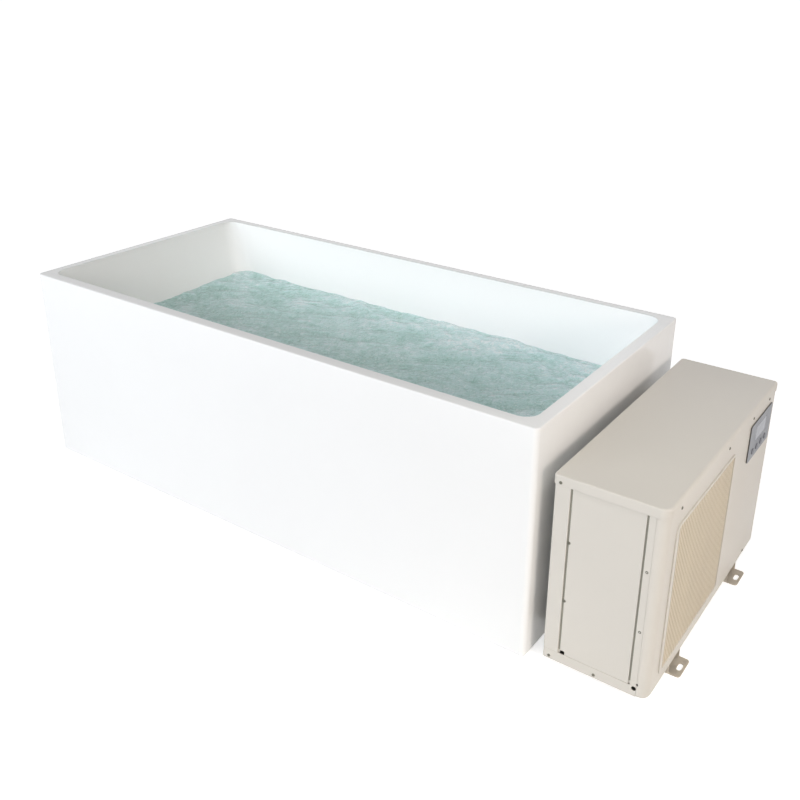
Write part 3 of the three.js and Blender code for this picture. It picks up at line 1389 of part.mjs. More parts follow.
function buildCabinet(group) {
  addPiece(group, 'base_pan', makePan(), CREAM_PAINT);
  for (const [name, side] of [['left', -1], ['right', 1]]) {
    const place = new THREE.Group();
    place.position.y = (side * RAIL_SPAN) / 2;
    addPiece(place, `foot_rail_${name}`, makeRail(), GALVANISED);
    group.add(place);
  }
  addPiece(group, 'front_panel', makeFrontPanel(), CREAM_PAINT);
  const grillePlace = new THREE.Group();
  grillePlace.position.set(0, fanY, fanZ);
  addPiece(grillePlace, 'fan_grille', makeGrille(), CREAM_PLASTIC);
  group.add(grillePlace);
  addPiece(group, 'left_end_panel', makeLeftEndPanel(), CREAM_PAINT);
  addPiece(group, 'rear_left_post', makeRearPost(), CREAM_PAINT);
  addPiece(group, 'front_left_post', makeFrontPost(), CREAM_PAINT);
  addPiece(group, 'right_end_panel', makeRightEndPanel(), CREAM_PAINT);
  addPiece(group, 'coil_guard', makeCoilGuard(), CREAM_PLASTIC);
  addPiece(group, 'top_cover', makeLid(), CREAM_PAINT);
  addPiece(group, 'partition', makePartition(), GALVANISED);
  addPiece(group, 'electrical_box', makeElectricalBox(), GALVANISED);
  buildControls(group);
}

function buildCooling(group) {
  addPiece(group, 'condenser_coil', makeCoil(), FIN_ALUMINIUM);
  addPiece(group, 'motor_bracket', makeBracket(), GALVANISED);
  addPiece(group, 'fan_motor', makeFanMotor(), BLACK_PAINT);
  addPiece(group, 'fan_blade', makeFanBlade(), GREY_PLASTIC);
  addPiece(group, 'compressor', makeCompressor(), BLACK_PAINT);
  addPiece(group, 'compressor_pad', earPlate(panFloor + FIT, panFloor + FIT + PAD_THICKNESS), RUBBER);
  addPiece(group, 'discharge_pipe', makeDischargePipe(), COPPER);
  addPiece(group, 'suction_pipe', makeSuctionPipe(), COPPER);
  addPiece(group, 'liquid_line', makeLiquidLine(), COPPER);
}

function buildWaterSide(group) {
  addPiece(group, 'evaporator_tank', makeTank(), BLACK_PLASTIC);
  const pump = new THREE.Group();
  pump.position.set(pumpX, 0, PUMP_HEIGHT);
  addPiece(pump, 'pump_casing', makePumpCasing(), GREY_PLASTIC);
  addPiece(pump, 'pump_motor', makePumpMotor(), BLACK_PAINT);
  addPiece(pump, 'pump_impeller', makeImpeller(), GREY_PLASTIC);
  group.add(pump);
  addPiece(group, 'inlet_pipe', makeInletHose(), RUBBER);
  addPiece(group, 'outlet_pipe', makeOutletHose(), RUBBER);
  for (const [name, x, z] of [['inlet_port', pumpX, PUMP_HEIGHT], ['outlet_port', tankX, OUTLET_HEIGHT]]) {
    const place = new THREE.Group();
    place.position.set(x, 0, z);
    addPiece(place, name, makePort(), GREY_PLASTIC);
    group.add(place);
  }
  const glandPlace = new THREE.Group();
  glandPlace.position.set(GLAND_X, 0, GLAND_HEIGHT);
  addPiece(glandPlace, 'cable_gland', makeGland(), BLACK_PLASTIC);
  group.add(glandPlace);
}

function buildChiller() {
  const chiller = new THREE.Group();
  chiller.position.set(TUB_LENGTH / 2 + CHILLER_GAP - back, CHILLER_SHIFT, 0);
  buildCabinet(chiller);
  buildCooling(chiller);
  buildWaterSide(chiller);
  return chiller;
}

const plunge = new THREE.Group();
plunge.add(buildTub(), buildChiller());
const box = new THREE.Box3().setFromObject(plunge, true);
plunge.position.set(-(box.min.x + box.max.x) / 2, -(box.min.y + box.max.y) / 2, -box.min.z);

export default plunge;
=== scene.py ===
"""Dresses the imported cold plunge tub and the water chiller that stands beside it.

Metres, +Z up, in the frame of the CAD model. A new piece has its place in its mesh.
"""

import json
import math
from contextlib import contextmanager

import bmesh
import bpy
import numpy as np
from mathutils import Matrix, Vector


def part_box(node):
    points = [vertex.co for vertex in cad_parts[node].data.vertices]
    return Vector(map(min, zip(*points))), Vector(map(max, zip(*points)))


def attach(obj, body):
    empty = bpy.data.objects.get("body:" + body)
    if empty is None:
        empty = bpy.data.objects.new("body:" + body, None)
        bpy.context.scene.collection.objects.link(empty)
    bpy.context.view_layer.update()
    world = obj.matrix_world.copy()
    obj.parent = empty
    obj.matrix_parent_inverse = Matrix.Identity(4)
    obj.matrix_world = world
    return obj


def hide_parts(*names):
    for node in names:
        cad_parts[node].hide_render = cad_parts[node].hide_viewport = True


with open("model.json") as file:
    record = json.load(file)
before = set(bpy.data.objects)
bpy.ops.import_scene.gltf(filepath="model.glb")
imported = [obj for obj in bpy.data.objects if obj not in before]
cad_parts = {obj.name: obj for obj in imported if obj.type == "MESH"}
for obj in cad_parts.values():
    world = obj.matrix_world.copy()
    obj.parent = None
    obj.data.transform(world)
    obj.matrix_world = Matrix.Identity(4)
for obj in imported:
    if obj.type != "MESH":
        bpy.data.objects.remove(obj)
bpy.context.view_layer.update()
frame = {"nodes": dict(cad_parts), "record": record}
record = frame["record"]
node_slot = {part["node"]: part["material_slot"] for part in record["subparts"]}
node_body = {node: body for body, nodes in record["behaviour"]["bodies"].items() for node in nodes}

# The camera, measured in the photograph's own frame of pixels
FRAME_SIDE = 800
FOCAL_PIXELS = 943.35
PRINCIPAL_X = 429.39
PRINCIPAL_Y = 332.26
CAMERA_PLACE = (1.4728, -1.9884, 1.5195)
CAMERA_AZIMUTH = -34.007
CAMERA_ELEVATION = 22.093
CAMERA_ROLL = -0.885
SENSOR = 36.0

# Tub
RIM_WIDTH = 0.028
RIM_THICKNESS = 0.010
RIM_EDGE = 0.0035
RIM_CORNER = 0.040
TUB_CORNER = 0.013
END_RUN = math.tan(math.radians(17.5))
SIDE_SLOPE = math.radians(2.5)
SIDE_RUN = math.tan(SIDE_SLOPE)
BASIN_FLOOR = 0.130
FLOOR_FILLET = 0.060
FLOOR_CORNER = 0.090
SHELL_WALL = 0.007
SKIRT_WALL = 0.005
SKIRT_LIFT = 0.004
SKIRT_EDGE = 0.006
PORT_HEIGHT = 0.255
FITTING_RADIUS = 0.022
WASTE_RADIUS = 0.023
HATCH_SIZE = (0.250, 0.120)
HATCH_CORNER = 0.018
HATCH_HEIGHT = 0.2531
WATER_LEVEL = 0.420
WATER_DEPTH = 0.025
WATER_SINK = 0.0015  # how far the water's edge reaches into the wall

# Chiller
LID_HEIGHT = 0.024
LID_WALL = 0.002
LID_EDGE = 0.0035
LID_FRONT_EDGE = 0.0075
LID_CORNERS = (0.008, 0.008, 0.008, 0.024)  # the largest beside the grille

FIT = 0.0003  # clearance between pieces that meet
CUT_REACH = 0.03  # how far a cutting tool goes to either side of a wall
SHEET_EDGE = 0.0006  # rounding of cut edges
FINE_EDGE = 0.0002  # the same on sheets that meet in close seams
SMALL_EDGE = 0.0005  # and on small parts
CORNER_STEPS = 16  # quads round a quarter of a corner
EDGE_STEPS = 6  # quads round a rounded edge
ROUND_STEPS = 48  # quads round a turned piece
WELD = 1e-6
FLAT_ANGLE = math.radians(0.4)
SHARP_ANGLE = math.radians(40)
BEVEL_ANGLE = math.radians(50)
UP = np.array([0.0, 0.0, 1.0])


def corners(node):
    """The low and the high corner of a CAD node's box."""
    return np.array(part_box(node))


def middle(*nodes):
    """The middle of the box round some CAD nodes."""
    boxes = np.array([corners(node) for node in nodes])
    return (boxes[:, 0].min(0) + boxes[:, 1].max(0)) / 2


def add_object(data):
    """Puts a mesh, a lamp or a camera in the scene under its own name."""
    made = bpy.data.objects.new(data.name, data)
    bpy.context.scene.collection.objects.link(made)
    return made


def make_camera():
    """Looks along the measured azimuth and elevation, then rolls about that line of sight."""
    azimuth, elevation, roll = (
        math.radians(angle) for angle in (CAMERA_AZIMUTH, CAMERA_ELEVATION, CAMERA_ROLL)
    )
    level = Vector((math.cos(azimuth), -math.sin(azimuth), 0))
    ahead = Vector((math.sin(azimuth), math.cos(azimuth), 0)) * math.cos(elevation)
    ahead.z = -math.sin(elevation)
    down = ahead.cross(level)
    across = math.cos(roll) * level + math.sin(roll) * down
    below = math.cos(roll) * down - math.sin(roll) * level
    lens = bpy.data.cameras.new("camera")
    lens.sensor_width = SENSOR
    lens.lens = SENSOR * FOCAL_PIXELS / FRAME_SIDE
    lens.shift_x = 0.5 - PRINCIPAL_X / FRAME_SIDE
    lens.shift_y = PRINCIPAL_Y / FRAME_SIDE - 0.5
    camera = add_object(lens)
    turn = Matrix((across, -below, -ahead)).transposed()
    camera.matrix_world = Matrix.Translation(CAMERA_PLACE) @ turn.to_4x4()
    bpy.context.scene.camera = camera


make_camera()


# Shader node groups


def new_group(name, inputs, outputs):
    """An empty shader group. Each socket is given as its name and kind."""
    group = bpy.data.node_groups.new(name, "ShaderNodeTree")
    for socket, kind in inputs.items():
        group.interface.new_socket(socket, in_out="INPUT", socket_type=f"NodeSocket{kind}")
    for socket, kind in outputs.items():
        group.interface.new_socket(socket, in_out="OUTPUT", socket_type=f"NodeSocket{kind}")
    start = group.nodes.new("NodeGroupInput").outputs
    end = group.nodes.new("NodeGroupOutput").inputs
    return group, start, end


def add_node(tree, kind, links=None, **settings):
    """Adds a node, sets its properties, and fills its inputs from values or other nodes' outputs."""
    node = tree.nodes.new(f"ShaderNode{kind}")
    for setting, value in settings.items():
        setattr(node, setting, value)
    for socket, value in (links or {}).items():
        if isinstance(value, bpy.types.NodeSocket):
            tree.links.new(value, node.inputs[socket])
        else:
            node.inputs[socket].default_value = value
    return node


def object_place(tree):
    return add_node(tree, "TexCoord").outputs["Object"]


def math_node(tree, operation, *values):
    return add_node(tree, "Math", dict(enumerate(values)), operation=operation).outputs[0]


def noise(tree, place, scale, detail, distortion=0.0):
    inputs = {"Vector": place, "Scale": scale, "Detail": detail, "Distortion": distortion}
    return add_node(tree, "TexNoise", inputs).outputs["Fac"]


def mapped(tree, value, before, after):
    """Takes a value from one range to another. Each range is its two ends."""
    inputs = {"Value": value, "From Min": before[0], "From Max": before[1]}
    inputs |= {"To Min": after[0], "To Max": after[1]}
    return add_node(tree, "MapRange", inputs).outputs["Result"]


def mixed(tree, share, first, second):
    return add_node(tree, "MixRGB", {"Fac": share, "Color1": first, "Color2": second}).outputs["Color"]


def varied(tree, color, pattern, strength):
    """Makes a colour lighter and darker by a pattern about 0.5.

    Gives the new colour, and its share of the one that came in.
    """
    centred = math_node(tree, "SUBTRACT", pattern, 0.5)
    share = math_node(tree, "MULTIPLY_ADD", centred, strength, 1.0)
    tone = add_node(tree, "VectorMath", {0: color, "Scale": share}, operation="SCALE")
    return tone.outputs["Vector"], share


def detail_group():
    """Slow drift of tone, uneven gloss and a fine grain, all from noise on Object coordinates."""
    group, start, end = new_group(
        "finish_detail",
        {
            "Color": "Color",
            "Drift Scale": "Float",
            "Drift": "Float",
            "Gloss Low": "Float",
            "Gloss High": "Float",
            "Grain Scale": "Float",
        },
        {"Color": "Color", "Roughness": "Float", "Grain": "Float"},
    )
    place = object_place(group)
    drift = noise(group, place, start["Drift Scale"], 4.0)
    tone, _ = varied(group, start["Color"], drift, start["Drift"])
    gloss = mapped(group, drift, (0.3, 0.7), (start["Gloss Low"], start["Gloss High"]))
    group.links.new(tone, end["Color"])
    group.links.new(gloss, end["Roughness"])
    group.links.new(noise(group, place, start["Grain Scale"], 3.0), end["Grain"])
    return group


def streak_group():
    """Fine streaks: noise squeezed across the streak's direction, as tone and as roughness."""
    group, start, end = new_group(
        "drawn_streaks",
        {"Color": "Color", "Squeeze": "Vector", "Strength": "Float", "Roughness": "Float"},
        {"Color": "Color", "Roughness": "Float", "Grain": "Float"},
    )
    squeezed = add_node(group, "Mapping", {"Vector": object_place(group), "Scale": start["Squeeze"]})
    lines = noise(group, squeezed.outputs[0], 1.0, 5.0)
    tone, share = varied(group, start["Color"], lines, start["Strength"])
    group.links.new(tone, end["Color"])
    group.links.new(math_node(group, "MULTIPLY", start["Roughness"], share), end["Roughness"])
    group.links.new(lines, end["Grain"])
    return group


def floor_darkening_group():
    """Darker and browner near the floor, in patches."""
    group, start, end = new_group(
        "darker_near_floor",
        {"Color": "Color", "Dirt": "Color", "Reach": "Float", "Amount": "Float"},
        {"Color": "Color"},
    )
    place = object_place(group)
    height = add_node(group, "SeparateXYZ", {"Vector": place}).outputs["Z"]
    low = mapped(group, height, (0.0, start["Reach"]), (1.0, 0.12))
    spread = math_node(group, "MULTIPLY", low, noise(group, place, 14.0, 5.0))
    weight = math_node(group, "MULTIPLY", spread, start["Amount"])
    group.links.new(mixed(group, weight, start["Color"], start["Dirt"]), end["Color"])
    return group


finish_detail = detail_group()
drawn_streaks = streak_group()
darker_near_floor = floor_darkening_group()


# Materials


def start_material(name, **plain):
    """A material with a Principled shader. Plain values are set on the shader's own sockets."""
    made = bpy.data.materials.new(name)
    made.use_nodes = True
    shader = made.node_tree.nodes["Principled BSDF"]
    for socket, value in plain.items():
        shader.inputs[socket.replace("_", " ").title().replace("Ior", "IOR")].default_value = value
    return made, made.node_tree, shader


def add_group(tree, group, **values):
    """Places a shared group in a material, with the material's own values."""
    node = tree.nodes.new("ShaderNodeGroup")
    node.node_tree = group
    for socket, value in values.items():
        node.inputs[socket.replace("_", " ").title()].default_value = value
    return node


def opaque(color):
    return (*color, 1.0)


def add_bump(tree, shader, height, depth):
    """Raises the surface by a height between 0 and 1 times a depth in metres."""
    bump = add_node(tree, "Bump", {"Height": height, "Distance": depth})
    tree.links.new(bump.outputs["Normal"], shader.inputs["Normal"])


def coated(name, color, drift, gloss, grain, floor_darkening=None, **plain):
    """Paint or moulded plastic. drift: scale, share. gloss: low, high. grain: scale, depth."""
    made, tree, shader = start_material(name, **plain)
    detail = add_group(
        tree,
        finish_detail,
        color=opaque(color),
        drift_scale=drift[0],
        drift=drift[1],
        gloss_low=gloss[0],
        gloss_high=gloss[1],
        grain_scale=grain[0],
    )
    shown = detail.outputs["Color"]
    # Darker and browner towards the floor, in patches, where asked.
    if floor_darkening:
        dirt = add_group(tree, darker_near_floor, dirt=opaque(floor_darkening[0]), reach=floor_darkening[1], amount=floor_darkening[2])
        tree.links.new(shown, dirt.inputs["Color"])
        shown = dirt.outputs["Color"]
    tree.links.new(shown, shader.inputs["Base Color"])
    tree.links.new(detail.outputs["Roughness"], shader.inputs["Roughness"])
    add_bump(tree, shader, detail.outputs["Grain"], grain[1])
    return made


def drawn_metal(name, color, squeeze, strength, roughness, depth):
    """Bare metal with streaks from rolling or drawing."""
    made, tree, shader = start_material(name, metallic=1.0)
    streaks = add_group(
        tree,
        drawn_streaks,
        color=opaque(color),
        squeeze=squeeze,
        strength=strength,
        roughness=roughness,
    )
    tree.links.new(streaks.outputs["Color"], shader.inputs["Base Color"])
    tree.links.new(streaks.outputs["Roughness"], shader.inputs["Roughness"])
    add_bump(tree, shader, streaks.outputs["Grain"], depth)
    return made


def white_acrylic():
    """Glossy moulded acrylic, with a slow ripple in its gloss."""
    return coated(
        "white_acrylic",
        (0.88, 0.88, 0.875),
        (2.5, 0.03),
        (0.16, 0.26),
        (14.0, 0.0006),
        specular_ior_level=0.35,
    )


def insulating_foam():
    return coated("insulating_foam", (0.72, 0.62, 0.36), (9.0, 0.3), (0.85, 0.98), (420.0, 0.0012))


def plywood():
    """Stiffening board: grain lines drawn along X."""
    made, tree, shader = start_material("plywood", roughness=0.75)
    grain = add_group(
        tree,
        drawn_streaks,
        color=opaque((0.46, 0.32, 0.15)),
        squeeze=(6.0, 140.0, 60.0),
        strength=1.1,
        roughness=0.75,
    )
    tree.links.new(grain.outputs["Color"], shader.inputs["Base Color"])
    add_bump(tree, shader, grain.outputs["Grain"], 0.0006)
    return made


def galvanised_steel():
    """Zinc spangle: Voronoi cells of slightly different grey and gloss."""
    made, tree, shader = start_material("galvanised_steel", metallic=0.25)
    spangle = add_node(tree, "TexVoronoi", {"Vector": object_place(tree), "Scale": 70.0})
    tone = add_node(tree, "SeparateColor", {"Color": spangle.outputs["Color"]}).outputs[0]
    ramp = add_node(tree, "ValToRGB", {"Fac": tone})
    ramp.color_ramp.elements[0].color = opaque((0.50, 0.45, 0.38))
    ramp.color_ramp.elements[1].color = opaque((0.65, 0.585, 0.495))
    tree.links.new(ramp.outputs["Color"], shader.inputs["Base Color"])
    tree.links.new(mapped(tree, tone, (0.0, 1.0), (0.42, 0.62)), shader.inputs["Roughness"])
    add_bump(tree, shader, spangle.outputs["Distance"], 0.0002)
    return made


def bright_steel():
    return drawn_metal("bright_steel", (0.42, 0.42, 0.43), (400.0, 400.0, 40.0), 0.35, 0.34, 0.0001)


def black_plastic():
    return coated("black_plastic", (0.022, 0.022, 0.024), (20.0, 0.3), (0.4, 0.58), (900.0, 0.0003))


def grey_plastic():
    return coated("grey_plastic", (0.15, 0.155, 0.18), (30.0, 0.2), (0.35, 0.5), (1200.0, 0.0001))


def cream_paint():
    """Powder coat on sheet steel, with an orange-peel skin."""
    return coated(
        "cream_paint",
        (0.668, 0.634, 0.580),
        (4.0, 0.05),
        (0.36, 0.48),
        (520.0, 0.00025),
        # darker and browner towards the floor, in patches
        floor_darkening=((0.30, 0.26, 0.20), 0.12, 0.10),
        specular_ior_level=0.25,
    )


def cream_plastic():
    """Moulded plastic that has yellowed a little."""
    return coated(
        "cream_plastic",
        (0.80, 0.73, 0.62),
        (7.0, 0.08),
        (0.42, 0.55),
        (700.0, 0.0002),
        # darker and browner towards the floor, in patches
        floor_darkening=((0.32, 0.26, 0.16), 0.3, 0.16),
    )


def keypad_plastic():
    return coated(
        "keypad_plastic",
        (0.205, 0.215, 0.245),
        (16.0, 0.08),
        (0.3, 0.42),
        (1500.0, 0.0001),
        specular_ior_level=0.3,
    )


def display_film():
    return coated(
        "display_film",
        (0.22, 0.235, 0.28),
        (25.0, 0.12),
        (0.12, 0.2),
        (200.0, 0.00005),
        specular_ior_level=0.25,
    )


def copper_tube():
    return drawn_metal("copper_tube", (0.62, 0.30, 0.17), (60.0, 60.0, 20.0), 0.6, 0.34, 0.0002)


def fin_aluminium():
    return drawn_metal("fin_aluminium", (0.60, 0.62, 0.63), (30.0, 900.0, 12.0), 0.7, 0.42, 0.0006)


def black_paint():
    return coated("black_paint", (0.016, 0.017, 0.019), (8.0, 0.3), (0.3, 0.45), (600.0, 0.0002))


def black_rubber():
    return coated("black_rubber", (0.02, 0.02, 0.02), (25.0, 0.4), (0.75, 0.92), (500.0, 0.0005))


def dull_screw():
    """Zinc-plated screws that have gone dark."""
    return coated("dull_screw", (0.17, 0.165, 0.13), (90.0, 0.5), (0.42, 0.6), (800.0, 0.0002), metallic=0.3)


def groove_shade_strip():
    """An olive-grey strip colour that paints the shade in a groove."""
    return coated("groove_shade_strip", (0.29, 0.28, 0.23), (40.0, 0.3), (0.8, 0.95), (900.0, 0.0003))


def dust_screen():
    """Woven plastic with painted shade between the wires: the screen's own attribute darkens it there."""
    made, tree, shader = start_material("dust_screen", roughness=0.6)
    wire = add_node(tree, "Attribute", attribute_name="wire").outputs["Fac"]
    detail = add_group(tree, finish_detail, color=opaque((0.53, 0.44, 0.28)), drift_scale=9.0, drift=0.15)
    # The dark colour between the wires is painted shade.
    shown = mixed(tree, wire, opaque((0.30, 0.235, 0.135)), detail.outputs["Color"])
    tree.links.new(shown, shader.inputs["Base Color"])
    return made


def painted_shade_plastic():
    """Painted shade: a dark colour on the sides of the keypad's bezel."""
    return coated("painted_shade_plastic", (0.10, 0.10, 0.09), (20.0, 0.2), (0.4, 0.55), (900.0, 0.0001))


def water_bubbles(tree, place):
    """A mask of scattered round bubbles: near the middle of those cells whose own tone is highest."""
    cells = add_node(tree, "TexVoronoi", {"Vector": place, "Scale": 75.0}).outputs
    tone = add_node(tree, "SeparateColor", {"Color": cells["Color"]}).outputs[0]
    chosen = math_node(tree, "GREATER_THAN", tone, 0.72)
    bubble = mapped(tree, cells["Distance"], (0.10, 0.26), (0.55, 0.0))
    return math_node(tree, "MULTIPLY", chosen, bubble)


def painted_water_glints(tree, place):
    """A mask of painted highlights: thin pale lines where slow noise crosses its middle value."""
    apart = math_node(tree, "SUBTRACT", noise(tree, place, 8.0, 5.0, 1.4), 0.52)
    return mapped(tree, math_node(tree, "ABSOLUTE", apart), (0.0, 0.022), (0.5, 0.0))


def rippled_water():
    """Pale blue-green water, tinted by crests and drawn-out noise as painted reflection, with painted
    highlight lines, bubbles and a fine ripple.
    """
    made, tree, shader = start_material("rippled_water", ior=1.33)
    place = object_place(tree)
    crest = add_node(tree, "Attribute", attribute_name="crest").outputs["Fac"]
    drawn_out = add_node(tree, "Mapping", {"Vector": place, "Scale": (4.6, 4.0, 1.0)}).outputs[0]
    ripple = noise(tree, drawn_out, 17.0, 8.0, 1.2)
    # The tint is paler on crests and on the ripple noise: painted reflection over the water's own colour.
    level = math_node(tree, "MULTIPLY_ADD", ripple, 1.7, crest)
    tint = add_node(tree, "ValToRGB", {"Fac": mapped(tree, level, (0.74, 2.1), (0.0, 1.0))})
    tint.color_ramp.elements[0].color = opaque((0.335, 0.555, 0.505))
    tint.color_ramp.elements[1].color = opaque((0.82, 0.89, 0.89))
    for position, color in ((0.42, (0.51, 0.725, 0.70)), (0.72, (0.635, 0.80, 0.805))):
        tint.color_ramp.elements.new(position).color = opaque(color)
    # Bubbles and the painted highlight lines show in a pale colour.
    pale = math_node(tree, "MAXIMUM", water_bubbles(tree, place), painted_water_glints(tree, drawn_out))
    shown = mixed(tree, pale, tint.outputs["Color"], opaque((0.84, 0.91, 0.90)))
    tree.links.new(shown, shader.inputs["Base Color"])
    tree.links.new(mapped(tree, crest, (0.0, 1.0), (0.05, 0.2)), shader.inputs["Roughness"])
    add_bump(tree, shader, ripple, 0.008)
    return made


finishes = {
    "white_shell": white_acrylic(),
    "foam": insulating_foam(),
    "board": plywood(),
    "galvanised": galvanised_steel(),
    "steel": bright_steel(),
    "black_plastic": black_plastic(),
    "grey_plastic": grey_plastic(),
    "cream_paint": cream_paint(),
    "cream_plastic": cream_plastic(),
    "keypad_plastic": keypad_plastic(),
    "display_film": display_film(),
    "copper": copper_tube(),
    "fin_aluminium": fin_aluminium(),
    "black_paint": black_paint(),
    "rubber": black_rubber(),
}

for node, shape in frame["nodes"].items():
    shape.data.materials.clear()
    shape.data.materials.append(finishes[node_slot[node]])


# Mesh helpers


def grid_faces(rows, columns, round_rows=False, round_columns=False):
    """Quads between neighbours on a grid of points, joined end to end where a direction is round."""
    row = np.arange(rows if round_rows else rows - 1)[:, None]
    column = np.arange(columns if round_columns else columns - 1)[None, :]
    next_row, next_column = (row + 1) % rows, (column + 1) % columns
    around = (
        row * columns + column,
        row * columns + next_column,
        next_row * columns + next_column,
        next_row * columns + column,
    )
    return np.stack(np.broadcast_arrays(*around), -1).reshape(-1, 4)


def shade(mesh):
    """Smooth shading, with a crease where two faces meet at a sharp angle."""
    mesh.shade_smooth()
    mesh.set_sharp_from_angle(angle=SHARP_ANGLE)


@contextmanager
def opened(mesh):
    """Opens a mesh for changes, and writes them back to it."""
    work = bmesh.new()
    work.from_mesh(mesh)
    yield work
    work.to_mesh(mesh)
    work.free()


def make_mesh(name, points, faces, weld=False):
    """A mesh from arrays. Welding closes poles and seams, and turns the faces outwards."""
    mesh = bpy.data.meshes.new(name)
    mesh.from_pydata(np.asarray(points).reshape(-1, 3), [], faces)
    if weld:
        with opened(mesh) as work:
            bmesh.ops.remove_doubles(work, verts=work.verts, dist=WELD)
            bmesh.ops.recalc_face_normals(work, faces=work.faces)
    shade(mesh)
    return mesh


def add_piece(mesh, body, slot, nodes=(), finish=None):
    """Puts a mesh in the scene on a CAD body, in place of the nodes that it stands for."""
    piece = add_object(mesh)
    mesh.materials.clear()
    mesh.materials.append(finish or finishes[slot])
    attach(piece, body)
    if nodes:
        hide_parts(*nodes)
    return piece


def stand_in(mesh, node):
    """Puts a mesh in the scene in place of one CAD node, with that node's body and slot."""
    return add_piece(mesh, node_body[node], node_slot[node], [node])


quarter = np.repeat(np.arange(4), CORNER_STEPS + 1)  # which corner each point of an outline is on
corner_angle = (quarter + np.tile(np.linspace(0, 1, CORNER_STEPS + 1), 4)) * np.pi / 2


def rounded_rows(half_x, half_y, radius, z, centre):
    """Rows of rounded rectangles, anticlockwise. A corner is a quarter circle about a point one radius in.

    half_x, half_y and z hold one value for each row, and radius one for each row and corner.
    """
    radius = np.broadcast_to(np.asarray(radius, float).reshape(len(z), -1), (len(z), 4))
    side_x = np.array([1, -1, -1, 1])[quarter]
    side_y = np.array([1, 1, -1, -1])[quarter]
    bend = radius[:, quarter]
    x = side_x * (np.asarray(half_x)[:, None] - bend) + bend * np.cos(corner_angle)
    y = side_y * (np.asarray(half_y)[:, None] - bend) + bend * np.sin(corner_angle)
    height = np.broadcast_to(np.asarray(z)[:, None], x.shape)
    return np.stack([x + centre[0], y + centre[1], height], -1)


def rounded_grid(half_x, half_y, radius, columns, rows):
    """A grid of points that fills a rounded rectangle: each row ends on the outline."""
    across = np.linspace(-half_y, half_y, rows)
    into_corner = np.clip(np.abs(across) - (half_y - radius), 0, radius)
    reach = half_x - radius + np.sqrt(radius**2 - into_corner**2)
    x = np.linspace(-1, 1, columns)[None, :] * reach[:, None]
    return x, np.broadcast_to(across[:, None], x.shape)


def loft(name, rows, loop=False):
    """Joins rows of points. The first and last rows are capped, unless the rows close on themselves."""
    count, columns = rows.shape[:2]
    faces = grid_faces(count, columns, round_rows=loop, round_columns=True).tolist()
    if not loop:
        ends = np.arange(count * columns).reshape(count, columns)[[0, -1]]
        faces += ends.tolist()
    return make_mesh(name, rows, faces, weld=True)


def edge_round(radius):
    """Insets and drops round a quarter of an edge, from its side to its top."""
    angle = np.linspace(0, np.pi / 2, EDGE_STEPS + 1)
    return radius * (1 - np.cos(angle)), radius * (1 - np.sin(angle))


def full_turn(steps):
    return np.linspace(0, 2 * np.pi, steps, endpoint=False)


def turned(name, profile, start, axis):
    """Turns (radius, height) pairs about an axis that starts at a point."""
    axis = np.array(axis, float) / np.linalg.norm(axis)
    upright = abs(axis[2]) > 0.9
    side = np.cross(axis, [1.0, 0.0, 0.0] if upright else UP)
    side /= np.linalg.norm(side)
    angle = full_turn(ROUND_STEPS)[None, :, None]
    spoke = np.cos(angle) * side + np.sin(angle) * np.cross(axis, side)
    radius, height = np.array(profile, float).T[..., None, None]
    points = np.array(start) + height * axis + radius * spoke
    return make_mesh(name, points, grid_faces(len(profile), ROUND_STEPS, round_columns=True), weld=True)


def drill(radius, start, axis, length):
    """A closed cylinder to cut a round hole with, from a point along an axis."""
    return turned("drill", [(0, 0), (radius, 0), (radius, length), (0, length)], start, axis)


def cut(mesh, tools):
    """Takes closed tool meshes out of a mesh. The result keeps the mesh's name."""
    work, *cutters = (add_object(shape) for shape in (mesh, *tools))
    for cutter in cutters:
        hole = work.modifiers.new("hole", "BOOLEAN")
        hole.operation = "DIFFERENCE"
        hole.solver = "EXACT"
        hole.object = cutter
    done = bpy.data.meshes.new_from_object(work.evaluated_get(bpy.context.evaluated_depsgraph_get()))
    for thing in (work, *cutters):
        bpy.data.objects.remove(thing)
    name = mesh.name
    for shape in (mesh, *tools):
        bpy.data.meshes.remove(shape)
    done.name = name
    shade(done)
    return done


def softened(node, edge=SHEET_EDGE, tools=()):
    """A copy of a CAD node with holes cut by the tools, flat faces joined and sharp edges rounded."""
    mesh = frame["nodes"][node].data.copy()
    mesh.name = f"{node}_body"
    with opened(mesh) as work:
        bmesh.ops.remove_doubles(work, verts=work.verts, dist=WELD)
    if tools:
        mesh = cut(mesh, tools)
    with opened(mesh) as work:
        bmesh.ops.dissolve_limit(work, angle_limit=FLAT_ANGLE, verts=work.verts, edges=work.edges)
    shade(mesh)
    piece = stand_in(mesh, node)
    bevel = piece.modifiers.new("edge_round", "BEVEL")
    bevel.width = edge
    bevel.segments = 2
    bevel.limit_method = "ANGLE"
    bevel.angle_limit = BEVEL_ANGLE
    bevel.use_clamp_overlap = False
    evened = piece.modifiers.new("even_shading", "WEIGHTED_NORMAL")
    evened.keep_sharp = True
    return piece


# Tub

tub_centre = middle("basin", "outer_skirt")
basin_low, basin_high = corners("basin")
tub_half = (basin_high - basin_low) / 2
tub_top = basin_high[2]
rim_underside = tub_top - RIM_THICKNESS


def outer_rows(inset, z):
    """Rows on the tub's outside, moved in by an inset."""
    inset = np.asarray(inset, float)
    return rounded_rows(tub_half[0] - inset, tub_half[1] - inset, TUB_CORNER - inset, z, tub_centre)


def basin_half(z):
    """Half sizes of the basin's inside at a height: it narrows with depth along straight walls."""
    depth = tub_top - np.asarray(z, float)
    return tub_half[0] - RIM_WIDTH - depth * END_RUN, tub_half[1] - RIM_WIDTH - depth * SIDE_RUN


def basin_radius(z):
    share = (tub_top - np.asarray(z, float)) / (tub_top - BASIN_FLOOR)
    return RIM_CORNER + (FLOOR_CORNER - RIM_CORNER) * share


